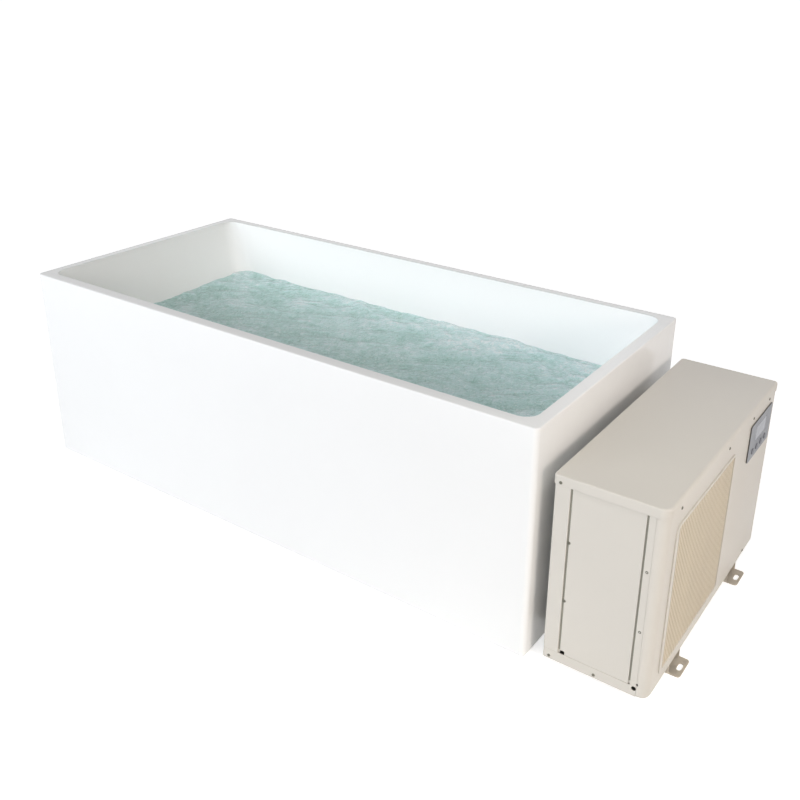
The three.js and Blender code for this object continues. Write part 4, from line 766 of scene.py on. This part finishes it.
def basin_rows(wall_z, grow, z):
    """Rows on the basin's wall at the heights wall_z, grown outwards and set at the heights z."""
    half_x, half_y = basin_half(wall_z)
    radius = basin_radius(wall_z) + np.asarray(grow) / 2
    return rounded_rows(half_x + grow, half_y + grow, radius, z, tub_centre)


def fillet_rows(grow):
    """Rows up the round between floor and wall, for a wall that is grown outwards."""
    angle = np.linspace(0, np.pi / 2, 2 * EDGE_STEPS + 1)
    wall_z = BASIN_FLOOR + FLOOR_FILLET * (1 - np.cos(angle))
    reach = FLOOR_FILLET + grow
    outward = reach * np.sin(angle) - FLOOR_FILLET
    height = BASIN_FLOOR + FLOOR_FILLET - reach * np.cos(angle)
    return basin_rows(wall_z, outward, height)


def basin_drills():
    """Tools for the waste hole in the floor, and for two ports square to the sloping back wall."""
    waste = middle("waste_flange")
    below = (waste[0], waste[1], BASIN_FLOOR - CUT_REACH)
    tools = [drill(WASTE_RADIUS + FIT, below, UP, 2 * CUT_REACH)]
    out = np.array([0, math.cos(SIDE_SLOPE), -math.sin(SIDE_SLOPE)])
    wall_y = tub_centre[1] + basin_half(PORT_HEIGHT)[1]
    for node in ("suction_fitting", "return_fitting"):
        start = np.array([middle(node)[0], wall_y, PORT_HEIGHT]) - CUT_REACH * out
        tools.append(drill(FITTING_RADIUS + FIT, start, out, 2 * CUT_REACH))
    return tools


def make_basin():
    """Floor, fillet and wall inside, over the rounded rim, and back down the outside of the shell."""
    inset, drop = edge_round(RIM_EDGE)
    top = np.full(len(drop), tub_top)
    rows = np.concatenate([
        fillet_rows(0.0),
        basin_rows(top, -inset, top - drop),
        outer_rows(inset[::-1], top - drop[::-1]),
        outer_rows([0.0], [rim_underside]),
        basin_rows([rim_underside], np.array([SHELL_WALL]), [rim_underside]),
        fillet_rows(SHELL_WALL)[::-1],
    ])
    stand_in(cut(loft("tub_basin", rows), basin_drills()), "basin")


def hatch_tool():
    """A rounded block through the back wall, round both hose tails."""
    back = tub_centre[1] + tub_half[1]
    place = (middle("suction_tail", "return_tail")[0], HATCH_HEIGHT)
    half_x, half_z = (np.full(2, size / 2) for size in HATCH_SIZE)
    ends = [back - CUT_REACH, back + CUT_REACH]
    rows = rounded_rows(half_x, half_z, np.full(2, HATCH_CORNER), ends, place)
    return loft("hatch", rows[..., [0, 2, 1]])


def make_skirt():
    """The plain outer walls, rounded in at the foot, as one closed band."""
    inset, drop = edge_round(SKIRT_EDGE)
    band = SKIRT_LIFT + SKIRT_EDGE + SKIRT_WALL
    rows = np.concatenate([
        outer_rows([SKIRT_EDGE + SKIRT_WALL], [SKIRT_LIFT]),
        outer_rows(inset[::-1], SKIRT_LIFT + drop[::-1]),
        outer_rows([0.0, SKIRT_WALL], [rim_underside, rim_underside]),
        outer_rows([SKIRT_WALL], [band]),
    ])
    stand_in(cut(loft("tub_skirt", rows, loop=True), [hatch_tool()]), "outer_skirt")


WATER_COLUMNS = 400
WATER_ROWS = 200
WATER_TAPER = 1.6  # how much faster the slab narrows with depth than the basin's ends
WAVE_SEED = 11
WAVE_COUNT = 60
LONGEST_WAVE = 0.19
SHORTEST_WAVE = 0.020
WAVE_STEEPNESS = 0.034  # height of a wave over its length
HEADING_SPREAD = 0.85  # in radians, about straight across the tub
FADE_RATE_X = 2.6
FADE_RATE_Y = 3.2
FADE_POWER = 0.6  # the shorter a wave is, the sooner it fades
SWIRLS_X = ((0.030, 0.0, 9.0, 3.1), (0.018, 17.0, 21.0, 0.0))  # reach, turn along x and y, phase
SWIRLS_Y = ((0.026, 7.3, 0.0, 0.6), (0.016, 19.0, -13.0, 1.9))
CREST_ROUND = 0.03
CREST_MIDDLE = 0.45
CREST_SPREAD = 6.0  # standard deviations of the crests from the deepest colour to the palest
BACK_CHOP = 0.9  # how much higher the waves are at the back wall
BACK_REACH = 0.16
PAINTED_BACK_REFLECTION = 0.30  # painted reflection: how much paler the water is there, most towards the right
PAINTED_FRONT_SHADE = 0.16  # painted shade: how much deeper its colour is at the front wall


def wave_shape(turn):
    """A wave of height 1 whose crests are sharper than its troughs, from the sine of its turn."""
    return 1 - np.sqrt(np.sin(turn) ** 2 + CREST_ROUND)


def swirl(parts, x, y):
    """How far slow turns of the water carry a point to one side."""
    return sum(reach * np.sin(turn_x * x + turn_y * y + phase) for reach, turn_x, turn_y, phase in parts)


def water_waves(x, y):
    """Sums seeded waves of many lengths and headings, each fading in and out over slow swirls.

    Gives the height, which grows towards the back wall, and from 0 to 1 how pale a point is painted: paler on
    crests and by the back wall as painted reflection, and deeper at the front wall as painted shade.
    """
    random = np.random.default_rng(WAVE_SEED)
    length = np.geomspace(LONGEST_WAVE, SHORTEST_WAVE, WAVE_COUNT)[:, None, None]
    heading = random.normal(np.pi / 2, HEADING_SPREAD, length.shape)
    phase, fade_x, fade_y = random.uniform(0, 2 * np.pi, (3, *length.shape))
    moved_x, moved_y = x + swirl(SWIRLS_X, x, y), y + swirl(SWIRLS_Y, x, y)
    along = moved_x * np.cos(heading) + moved_y * np.sin(heading)
    stretch = length**FADE_POWER
    fade = np.sin(FADE_RATE_X * x / stretch + fade_x) * np.sin(FADE_RATE_Y * y / stretch + fade_y)
    waves = np.clip(fade, 0, 1) * wave_shape(np.pi * along / length + phase)
    half_y = basin_half(WATER_LEVEL)[1]
    near_back = np.exp(-(((tub_centre[1] + half_y - y) / BACK_REACH) ** 2))
    near_front = np.exp(-(((y - tub_centre[1] + half_y) / BACK_REACH) ** 2))
    height = WAVE_STEEPNESS * (length * waves).sum(0) * (1 + BACK_CHOP * near_back) / 2
    crest = (waves - waves.mean((1, 2), keepdims=True)).sum(0) * (1 + BACK_CHOP * near_back)
    # Painted reflection makes the water paler by the back wall, and painted shade makes it deeper by the
    # front wall.
    painted_wall_light = (PAINTED_BACK_REFLECTION * near_back - PAINTED_FRONT_SHADE * near_front) * (1 + (x - tub_centre[0]) / tub_half[0])
    pale = CREST_MIDDLE + crest / (CREST_SPREAD * crest.std()) + painted_wall_light
    return height - height.mean(), np.clip(pale, 0, 1)


def make_water():
    """A slab whose top is a grid of wave heights, fitted row by row to the basin's rounded outline."""
    half_x, half_y = (half + WATER_SINK for half in basin_half(WATER_LEVEL))
    radius = basin_radius(WATER_LEVEL)
    x, y = rounded_grid(half_x, half_y, radius, WATER_COLUMNS, WATER_ROWS)
    x, y = x + tub_centre[0], y + tub_centre[1]
    height, rise = water_waves(x, y)
    top = np.stack([x, y, WATER_LEVEL + height], -1).reshape(-1, 3)
    index = np.arange(WATER_ROWS * WATER_COLUMNS).reshape(WATER_ROWS, WATER_COLUMNS)
    edge = np.concatenate([index[0, :-1], index[:-1, -1], index[-1, :0:-1], index[:0:-1, 0]])
    shrink = 1 - WATER_DEPTH * END_RUN * WATER_TAPER / half_x
    below = tub_centre + (top[edge] - tub_centre) * (shrink, shrink, 0)
    below[:, 2] = WATER_LEVEL - WATER_DEPTH
    foot = len(top) + np.arange(len(edge))
    wall = np.stack([edge, foot, np.roll(foot, -1), np.roll(edge, -1)], -1)
    faces = grid_faces(WATER_ROWS, WATER_COLUMNS).tolist() + wall.tolist() + [foot[::-1].tolist()]
    mesh = make_mesh("water", np.concatenate([top, below]), faces)
    # The crest attribute carries the painted reflection and shade of the water's tint.
    crest = np.zeros(len(mesh.vertices), np.float32)
    crest[: len(top)] = rise.ravel()
    mesh.attributes.new("crest", "FLOAT", "POINT").data.foreach_set("value", crest)
    mesh.materials.append(rippled_water())
    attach(add_object(mesh), node_body["basin"])


make_basin()
make_skirt()
make_water()


# Chiller cabinet


def make_lid():
    """A pressed cover: an open box whose top edge is rounded, most along the front.

    The edge's radius goes from the plain one to the front's with the square of the outward normal's x.
    """
    low, high = corners("top_cover")
    centre, half = (low + high) / 2, (high - low) / 2
    outline = rounded_rows(half[:1], half[1:2], [LID_CORNERS], high[2:], centre)
    normal = np.stack([np.cos(corner_angle), np.sin(corner_angle), np.zeros(len(corner_angle))], -1)
    edge = LID_EDGE + (LID_FRONT_EDGE - LID_EDGE) * np.clip(normal[:, 0], 0, 1) ** 2
    section = [
        (LID_WALL + edge, LID_WALL),
        (LID_WALL, LID_WALL + edge),
        (LID_WALL, LID_HEIGHT),
        (LID_WALL / 2, LID_HEIGHT),
        (0, LID_HEIGHT - LID_WALL / 2),
    ]
    section += [(edge * inset, edge * drop) for inset, drop in zip(*edge_round(1.0))]
    rows = np.stack([
        outline[0] - np.reshape(inset, (-1, 1)) * normal - np.reshape(drop, (-1, 1)) * UP
        for inset, drop in section
    ])
    stand_in(loft("lid", rows), "top_cover")


CABLE_HOLE = (0.951, 0.042, 0.0055)  # x, z and radius on the left end
SEAM_HOLE = (0.958, 0.055, 0.0030)
DRILL_START = 0.010  # out from the lid's left end
DRILL_LENGTH = 0.022


def end_drill(hole):
    """A tool for a round hole in the sheets of the cabinet's left end."""
    x, z, radius = hole
    start = (x, corners("top_cover")[0][1] - DRILL_START, z)
    return drill(radius, start, (0, 1, 0), DRILL_LENGTH)


GRILLE_CORNER = 0.026
GRILLE_FRAME = 0.015
GRILLE_TOP_FRAME = 0.006
FIELD_CORNER = 0.008
FRAME_RISE = 0.0034  # the frame's face, out from the front panel
FRAME_EDGE = 0.0014
RIB_COUNT = 31
RIB_WIDTH = 0.0032
RIB_FOOT = 0.0011  # the back of the ribs, out from the front panel
RIB_RISE = 0.0026
RIB_STEPS = 7  # points over the top of a rib
SCREEN_PITCH = 0.0060
SCREEN_STEPS = 3  # points across one pitch
SCREEN_RISE = 0.0007
SCREEN_WAVE = 0.0003
SCREEN_SKIN = 0.0003
WIRE_WIDTH = 0.42  # share of a pitch
WIRE_BLUR = 0.2

panel_face = corners("front_panel")[1][0]
grille_low, grille_high = corners("fan_grille")[:, 1:]
field_low = grille_low + GRILLE_FRAME
field_high = grille_high - (GRILLE_FRAME, GRILLE_TOP_FRAME)


def frame_rows(low, high, corner, inset, rise):
    """Rows round a box on the front panel, each moved in by an inset and out from the panel by a rise."""
    half = (high - low) / 2
    rows = rounded_rows(half[0] - inset, half[1] - inset, corner - inset, panel_face + rise, (low + high) / 2)
    return rows[..., [2, 0, 1]]


def make_grille_frame():
    """A flat ring with rounded edges, from the grille's outline in to its field of ribs."""
    inset, drop = edge_round(FRAME_EDGE)
    inset = np.append(0.0, inset)
    rise = np.append(FIT, FRAME_RISE - drop)
    rows = np.concatenate([
        frame_rows(grille_low, grille_high, GRILLE_CORNER, inset, rise),
        frame_rows(field_low, field_high, FIELD_CORNER, -inset[::-1], rise[::-1]),
    ])
    mesh = loft("grille_frame", rows, loop=True)
    add_piece(mesh, node_body["fan_grille"], "cream_paint", ["fan_grille"])


def make_grille_ribs():
    """Evenly spaced upright ribs: half an ellipse in section, with their ends in the frame."""
    angle = np.linspace(0, np.pi, RIB_STEPS)
    middles = np.linspace(field_low[0], field_high[0], RIB_COUNT + 2)[1:-1]
    points = np.empty((RIB_COUNT, 2, RIB_STEPS, 3))
    points[..., 0] = panel_face + RIB_FOOT + (RIB_RISE - RIB_FOOT) * np.sin(angle)
    points[..., 1] = middles[:, None, None] + RIB_WIDTH / 2 * np.cos(angle)
    points[..., 2] = np.array([field_low[1] - FRAME_EDGE, field_high[1] + FRAME_EDGE])[:, None]
    first = np.arange(RIB_COUNT)[:, None, None] * 2 * RIB_STEPS
    sides = first + grid_faces(2, RIB_STEPS, round_columns=True)
    caps = first + np.arange(2 * RIB_STEPS).reshape(2, RIB_STEPS)
    faces = sides.reshape(-1, 4).tolist() + caps.reshape(-1, RIB_STEPS).tolist()
    mesh = make_mesh("grille_ribs", points, faces, weld=True)
    add_piece(mesh, node_body["fan_grille"], node_slot["fan_grille"])


def make_dust_screen():
    """A woven screen behind the ribs: wires both ways, which pass over and under each other.

    A wire shows where a point is near the middle of a pitch, and its height is a product of two waves.
    """
    half_y, half_z = (field_high - field_low) / 2
    columns, rows = (int(2 * half / SCREEN_PITCH) * SCREEN_STEPS + 1 for half in (half_y, half_z))
    y, z = rounded_grid(half_y, half_z, FIELD_CORNER, columns, rows)
    wave = np.sin(np.pi * y / SCREEN_PITCH) * np.sin(np.pi * z / SCREEN_PITCH)
    off_wire = np.minimum(*(np.abs((value / SCREEN_PITCH) % 1 - 0.5) for value in (y, z)))
    wire = np.clip((WIRE_WIDTH - off_wire) / WIRE_BLUR, 0, 1)
    centre = (field_low + field_high) / 2
    points = np.stack([panel_face + SCREEN_RISE + SCREEN_WAVE * wave, y + centre[0], z + centre[1]], -1)
    mesh = make_mesh("outlet_screen", points, grid_faces(rows, columns))
    # Away from the wires, the finish paints shade.
    mesh.attributes.new("wire", "FLOAT", "POINT").data.foreach_set("value", wire.ravel().astype(np.float32))
    piece = add_piece(mesh, "base", "cream_plastic", finish=dust_screen())
    skin = piece.modifiers.new("thickness", "SOLIDIFY")
    skin.thickness = SCREEN_SKIN


GROOVE = 0.005
SLOT_HEIGHT = 0.009
SHADE_STRIP_RISE = 0.0014
SHADE_STRIP_STEPS = 9


def make_groove_shade_strips():
    """Painted shade: a dark half-round strip in each groove beside the left end panel, from its foot to just
    under the lid.
    """
    finish = groove_shade_strip()
    low, high = corners("left_end_panel")
    angle = np.linspace(0, np.pi, SHADE_STRIP_STEPS)
    for name, x in (("rear_groove_shade", low[0] - GROOVE / 2), ("front_groove_shade", high[0] + GROOVE / 2)):
        section = np.stack([
            x + (GROOVE / 2 - FIT) * np.cos(angle),
            high[1] + FIT - SHADE_STRIP_RISE * np.sin(angle),
            np.zeros(SHADE_STRIP_STEPS),
        ], -1)
        ends = np.array([low[2] + SLOT_HEIGHT + FIT, high[2] - GROOVE])
        rows = section[None] + ends[:, None, None] * UP
        # The strips are dark to paint the shade in the grooves.
        add_piece(loft(name, rows), "base", "rubber", finish=finish)


def make_cabinet():
    make_lid()
    for node in ("left_end_panel", "rear_left_post"):
        softened(node, FINE_EDGE)
    for node in ("front_panel", "front_left_post", "base_pan"):
        softened(node, FINE_EDGE, [end_drill(CABLE_HOLE), end_drill(SEAM_HOLE)])
    for node in ("right_end_panel", "coil_guard", "foot_rail_left", "foot_rail_right"):
        softened(node)
    make_grille_frame()
    make_grille_ribs()
    make_dust_screen()
    make_groove_shade_strips()


PORT_THREAD = 0.034
PORT_FLANGE = 0.005
PORT_FLANGE_RADIUS = 0.024
PORT_RADIUS = 0.016
PORT_BORE = 0.008
THREAD_PITCH = 0.0025
THREAD_DEPTH = 0.0011
THREAD_ROWS = 10  # rows of points in one pitch


def thread_rows(radius, start, end):
    """A screw thread about Y: the depth is a rounded wave of height less a turn of the angle.

    The thread fades out at both ends of its length.
    """
    count = int(round((end - start) / THREAD_PITCH * THREAD_ROWS))
    height = np.linspace(start, end, count)[:, None]
    angle = full_turn(ROUND_STEPS)
    wave = 0.5 - 0.5 * np.cos(2 * np.pi * height / THREAD_PITCH - angle)
    fade = np.clip(np.minimum(height - start, end - height) / THREAD_PITCH, 0, 1)
    reach = radius - THREAD_DEPTH * wave * fade
    return np.stack([reach * np.sin(angle), np.broadcast_to(height, reach.shape), reach * np.cos(angle)], -1)


def ring_rows(profile):
    """Rows of circles about Y, one for each (radius, height) pair."""
    angle = full_turn(ROUND_STEPS)
    radius, height = np.array(profile, float).T[..., None]
    across, up = radius * np.sin(angle), radius * np.cos(angle)
    return np.stack([across, np.broadcast_to(height, across.shape), up], -1)


def make_ports():
    """Threaded hose ports on the right end: a spigot, a rounded flange, a thread and a bore."""
    for node in ("inlet_port", "outlet_port"):
        low, high = corners(node)
        flange = high[1] - PORT_THREAD - PORT_FLANGE
        edge = PORT_FLANGE / 4
        thread = flange + PORT_FLANGE
        lip = PORT_RADIUS - THREAD_DEPTH
        rows = np.concatenate([
            ring_rows([(PORT_BORE, low[1]), (PORT_RADIUS, low[1]), (PORT_RADIUS, flange)]),
            ring_rows([(PORT_FLANGE_RADIUS - edge, flange), (PORT_FLANGE_RADIUS, flange + edge)]),
            ring_rows([(PORT_FLANGE_RADIUS, thread - edge), (PORT_FLANGE_RADIUS - edge, thread)]),
            thread_rows(PORT_RADIUS, thread, high[1] - edge),
            ring_rows([(lip, high[1]), (PORT_BORE + edge, high[1]), (PORT_BORE, high[1] - edge)]),
        ])
        rows += np.array([1, 0, 1]) * (low + high) / 2
        stand_in(loft(f"{node}_thread", rows, loop=True), node)


SMALL_PARTS = (
    "waste_flange",
    "drain_plug",
    "suction_fitting",
    "suction_nut",
    "suction_grate",
    "suction_tail",
    "return_fitting",
    "return_nut",
    "return_tail",
    "cable_gland",
    "fan_blade",
)


def make_small_parts():
    for node in SMALL_PARTS:
        softened(node, SMALL_EDGE)


KEYPAD_EDGE = 0.0008
DISPLAY_EDGE = 0.0004
SIDE_LIMIT = 0.5  # a face is a side where its normal's x is less


def make_keypad():
    """The bezel, with painted shade on its sides, and its display."""
    piece = softened("control_panel", KEYPAD_EDGE)
    mesh = piece.data
    # The second material is painted shade for the bezel's sides.
    mesh.materials.append(painted_shade_plastic())
    normals = np.empty(3 * len(mesh.polygons), np.float32)
    mesh.polygons.foreach_get("normal", normals)
    # Faces turned away from the front take the painted shade.
    sides = (normals.reshape(-1, 3)[:, 0] < SIDE_LIMIT).astype(np.int32)
    mesh.polygons.foreach_set("material_index", sides)
    softened("display_window", DISPLAY_EDGE)


BUTTON_RADIUS = 0.008
BUTTON_EDGE = 0.0015
BUTTON_DISH = 0.0008
DISH_STEPS = 9  # points from the dish's edge to its middle


def make_buttons():
    """Round caps: a straight side, a rounded edge and a dished face."""
    for node in ("button_1", "button_2", "button_3", "button_4"):
        low, high = corners(node)
        length = high[0] - low[0]
        inset, drop = edge_round(BUTTON_EDGE)
        dish = np.linspace(1, 0, DISH_STEPS)[1:] * (BUTTON_RADIUS - BUTTON_EDGE)
        sunk = BUTTON_DISH * (1 - (dish / (BUTTON_RADIUS - BUTTON_EDGE)) ** 2)
        profile = np.concatenate([
            [[0.0, 0.0], [BUTTON_RADIUS, 0.0]],
            np.stack([BUTTON_RADIUS - inset, length - drop], -1),
            np.stack([dish, length - sunk], -1),
        ])
        start = (low[0], (low[1] + high[1]) / 2, (low[2] + high[2]) / 2)
        stand_in(turned(f"{node}_cap", profile, start, (1, 0, 0)), node)


SCREW_RADIUS = 0.0038
SCREW_RISE = 0.0018
SCREW_RINGS = 9
SCREW_SPOKES = 40
RECESS_WIDTH = 0.22  # shares of the head's radius
RECESS_REACH = 0.62
RECESS_SIDE = 0.08  # over which the recess's sides and ends slope
RECESS_END = 0.1
RECESS_DEPTH = 0.7  # share of the head's height

# Screw seats
LID_END_SEAT = (0.744, 0.485)  # x and z
LID_FRONT_Y = (-0.3405, -0.038, 0.1445, 0.276)
LID_FRONT_Z = 0.479
END_PANEL_X = (0.7725, 0.9495)
END_PANEL_Z = (0.344, 0.1925)
PAN_X = (0.746, 0.857)
PAN_Z = 0.0305
FRONT_FOOT_SEAT = (0.257, 0.0345)  # y and z

screw_finish = dull_screw()


def screw_head():
    """A pan head on a polar grid: a flattened dome, less a cross-shaped recess in its middle."""
    ring = np.linspace(0, 1, SCREW_RINGS)[:, None]
    angle = full_turn(SCREW_SPOKES)
    across, up = ring * np.cos(angle), ring * np.sin(angle)
    dome = np.sqrt(np.clip(1 - ring**4, 0, 1)) * np.ones_like(angle)
    arm = np.minimum(np.abs(across), np.abs(up))
    across_arm = np.clip((RECESS_WIDTH - arm) / RECESS_SIDE, 0, 1)
    along_arm = np.clip((RECESS_REACH - ring) / RECESS_END, 0, 1)
    height = SCREW_RISE * dome * (1 - RECESS_DEPTH * (across_arm * along_arm))
    return SCREW_RADIUS * across, SCREW_RADIUS * up, height


def make_screws(name, seats, out):
    """Screw heads on a flat panel. Each sits at a seat point and faces along the unit vector out."""
    across, up, height = (value.reshape(-1, 1) for value in screw_head())
    out = np.array(out, float)
    side = np.cross(UP, out)
    head = across * side + up * UP + height * out
    points = (np.array(seats)[:, None, :] + head).reshape(-1, 3)
    first = np.arange(len(seats))[:, None, None] * len(head)
    faces = (first + grid_faces(SCREW_RINGS, SCREW_SPOKES, round_columns=True)).reshape(-1, 4)
    add_piece(make_mesh(name, points, faces, weld=True), "base", "steel", finish=screw_finish)


def make_all_screws():
    """The screws of the lid, the left end panel, the base pan and the foot of the front panel."""
    leftward, forward = (0, -1, 0), (1, 0, 0)
    lid_low, lid_high = corners("top_cover")
    end_y = corners("left_end_panel")[0][1]
    pan_y = corners("base_pan")[0][1]
    x, z = LID_END_SEAT
    make_screws("lid_end_screw", [(x, lid_low[1], z)], leftward)
    make_screws("lid_front_screws", [(lid_high[0], y, LID_FRONT_Z) for y in LID_FRONT_Y], forward)
    make_screws("end_panel_screws", [(x, end_y, z) for x in END_PANEL_X for z in END_PANEL_Z], leftward)
    make_screws("pan_screws", [(x, pan_y, PAN_Z) for x in PAN_X], leftward)
    make_screws("front_foot_screw", [(panel_face, *FRONT_FOOT_SEAT)], forward)


make_cabinet()
make_keypad()
make_buttons()
make_ports()
make_small_parts()
make_all_screws()


# Floor and light


FLOOR_HALF = 60.0
FLOOR_LIFT = 0.63
WORLD_LIGHT = 0.58
TOP_LIGHT = 0.32


def seen_directly(tree):
    """1 on rays from the camera, a reflection or glass, and 0 on rays that light the object."""
    rays = add_node(tree, "LightPath").outputs
    seen = rays["Is Camera Ray"]
    for kind in ("Is Glossy Ray", "Is Transmission Ray"):
        seen = math_node(tree, "MAXIMUM", seen, rays[kind])
    return seen


def white_floor():
    """A pale floor that keeps shadows, lifted to white where the camera or a reflection sees it."""
    made, tree, shader = start_material("white_floor", base_color=opaque((0.86, 0.86, 0.86)), roughness=0.9)
    lift = math_node(tree, "MULTIPLY", seen_directly(tree), FLOOR_LIFT)
    glow = add_node(tree, "Emission", {"Strength": lift})
    both = add_node(tree, "AddShader", {0: shader.outputs[0], 1: glow.outputs[0]})
    tree.links.new(both.outputs[0], tree.nodes["Material Output"].inputs["Surface"])
    return made


def make_floor():
    mesh = bpy.data.meshes.new("floor")
    side = FLOOR_HALF
    points = [(-side, -side, 0), (side, -side, 0), (side, side, 0), (-side, side, 0)]
    mesh.from_pydata(points, [], [(0, 1, 2, 3)])
    mesh.materials.append(white_floor())
    add_object(mesh)


def make_world():
    """Even light from all round, a little weaker from above, seen as white."""
    world = bpy.data.worlds.new("studio")
    bpy.context.scene.world = world
    world.use_nodes = True
    tree = world.node_tree
    direction = add_node(tree, "TexCoord").outputs["Generated"]
    height = add_node(tree, "SeparateXYZ", {"Vector": direction}).outputs["Z"]
    light = mapped(tree, height, (0.0, 1.0), (WORLD_LIGHT, TOP_LIGHT))
    background = tree.nodes["Background"]
    tree.links.new(math_node(tree, "MAXIMUM", light, seen_directly(tree)), background.inputs["Strength"])
    background.inputs["Color"].default_value = opaque((1.0, 1.0, 1.0))


def add_softbox(name, place, aim, size, energy, color, spread=180):
    """A rectangular lamp that faces a point, with its beam kept within a spread in degrees."""
    light = bpy.data.lights.new(name, "AREA")
    light.shape = "RECTANGLE"
    light.size, light.size_y = size
    light.energy = energy
    light.color = color
    light.spread = math.radians(spread)
    toward = Vector(aim) - Vector(place)
    turn = toward.to_track_quat("-Z", "Y").to_matrix()
    add_object(light).matrix_world = Matrix.Translation(place) @ turn.to_4x4()


def make_lamps():
    """A wide cool light from the front left, a warm one on the grille, and two narrow beams from above."""
    add_softbox(
        "key",
        place=(-1.5, -4.2, 1.65),
        aim=(-0.2, 0.0, 0.35),
        size=(4.0, 1.3),
        energy=98.0,
        color=(0.89, 0.943, 1.0),
    )
    add_softbox(
        "inside",
        place=(0.2, -1.5, 1.75),
        aim=(0.2, 0.36, 0.50),
        size=(2.6, 0.3),
        energy=1.5,
        color=(0.955, 0.965, 1.0),
        spread=24,
    )
    add_softbox(
        "side",
        place=(6.2, -2.4, 2.1),
        aim=(0.9, -0.6, 0.35),
        size=(2.4, 2.0),
        energy=12.6,
        color=(1.0, 0.875, 0.775),
        spread=50,
    )
    add_softbox(
        "lid",
        place=(2.0, -0.9, 2.6),
        aim=(0.98, -0.42, 0.50),
        size=(0.6, 0.6),
        energy=0.56,
        color=(1.0, 1.0, 0.94),
        spread=28,
    )


make_floor()
make_world()
make_lamps()

bpy.context.scene.view_settings.view_transform = "Standard"
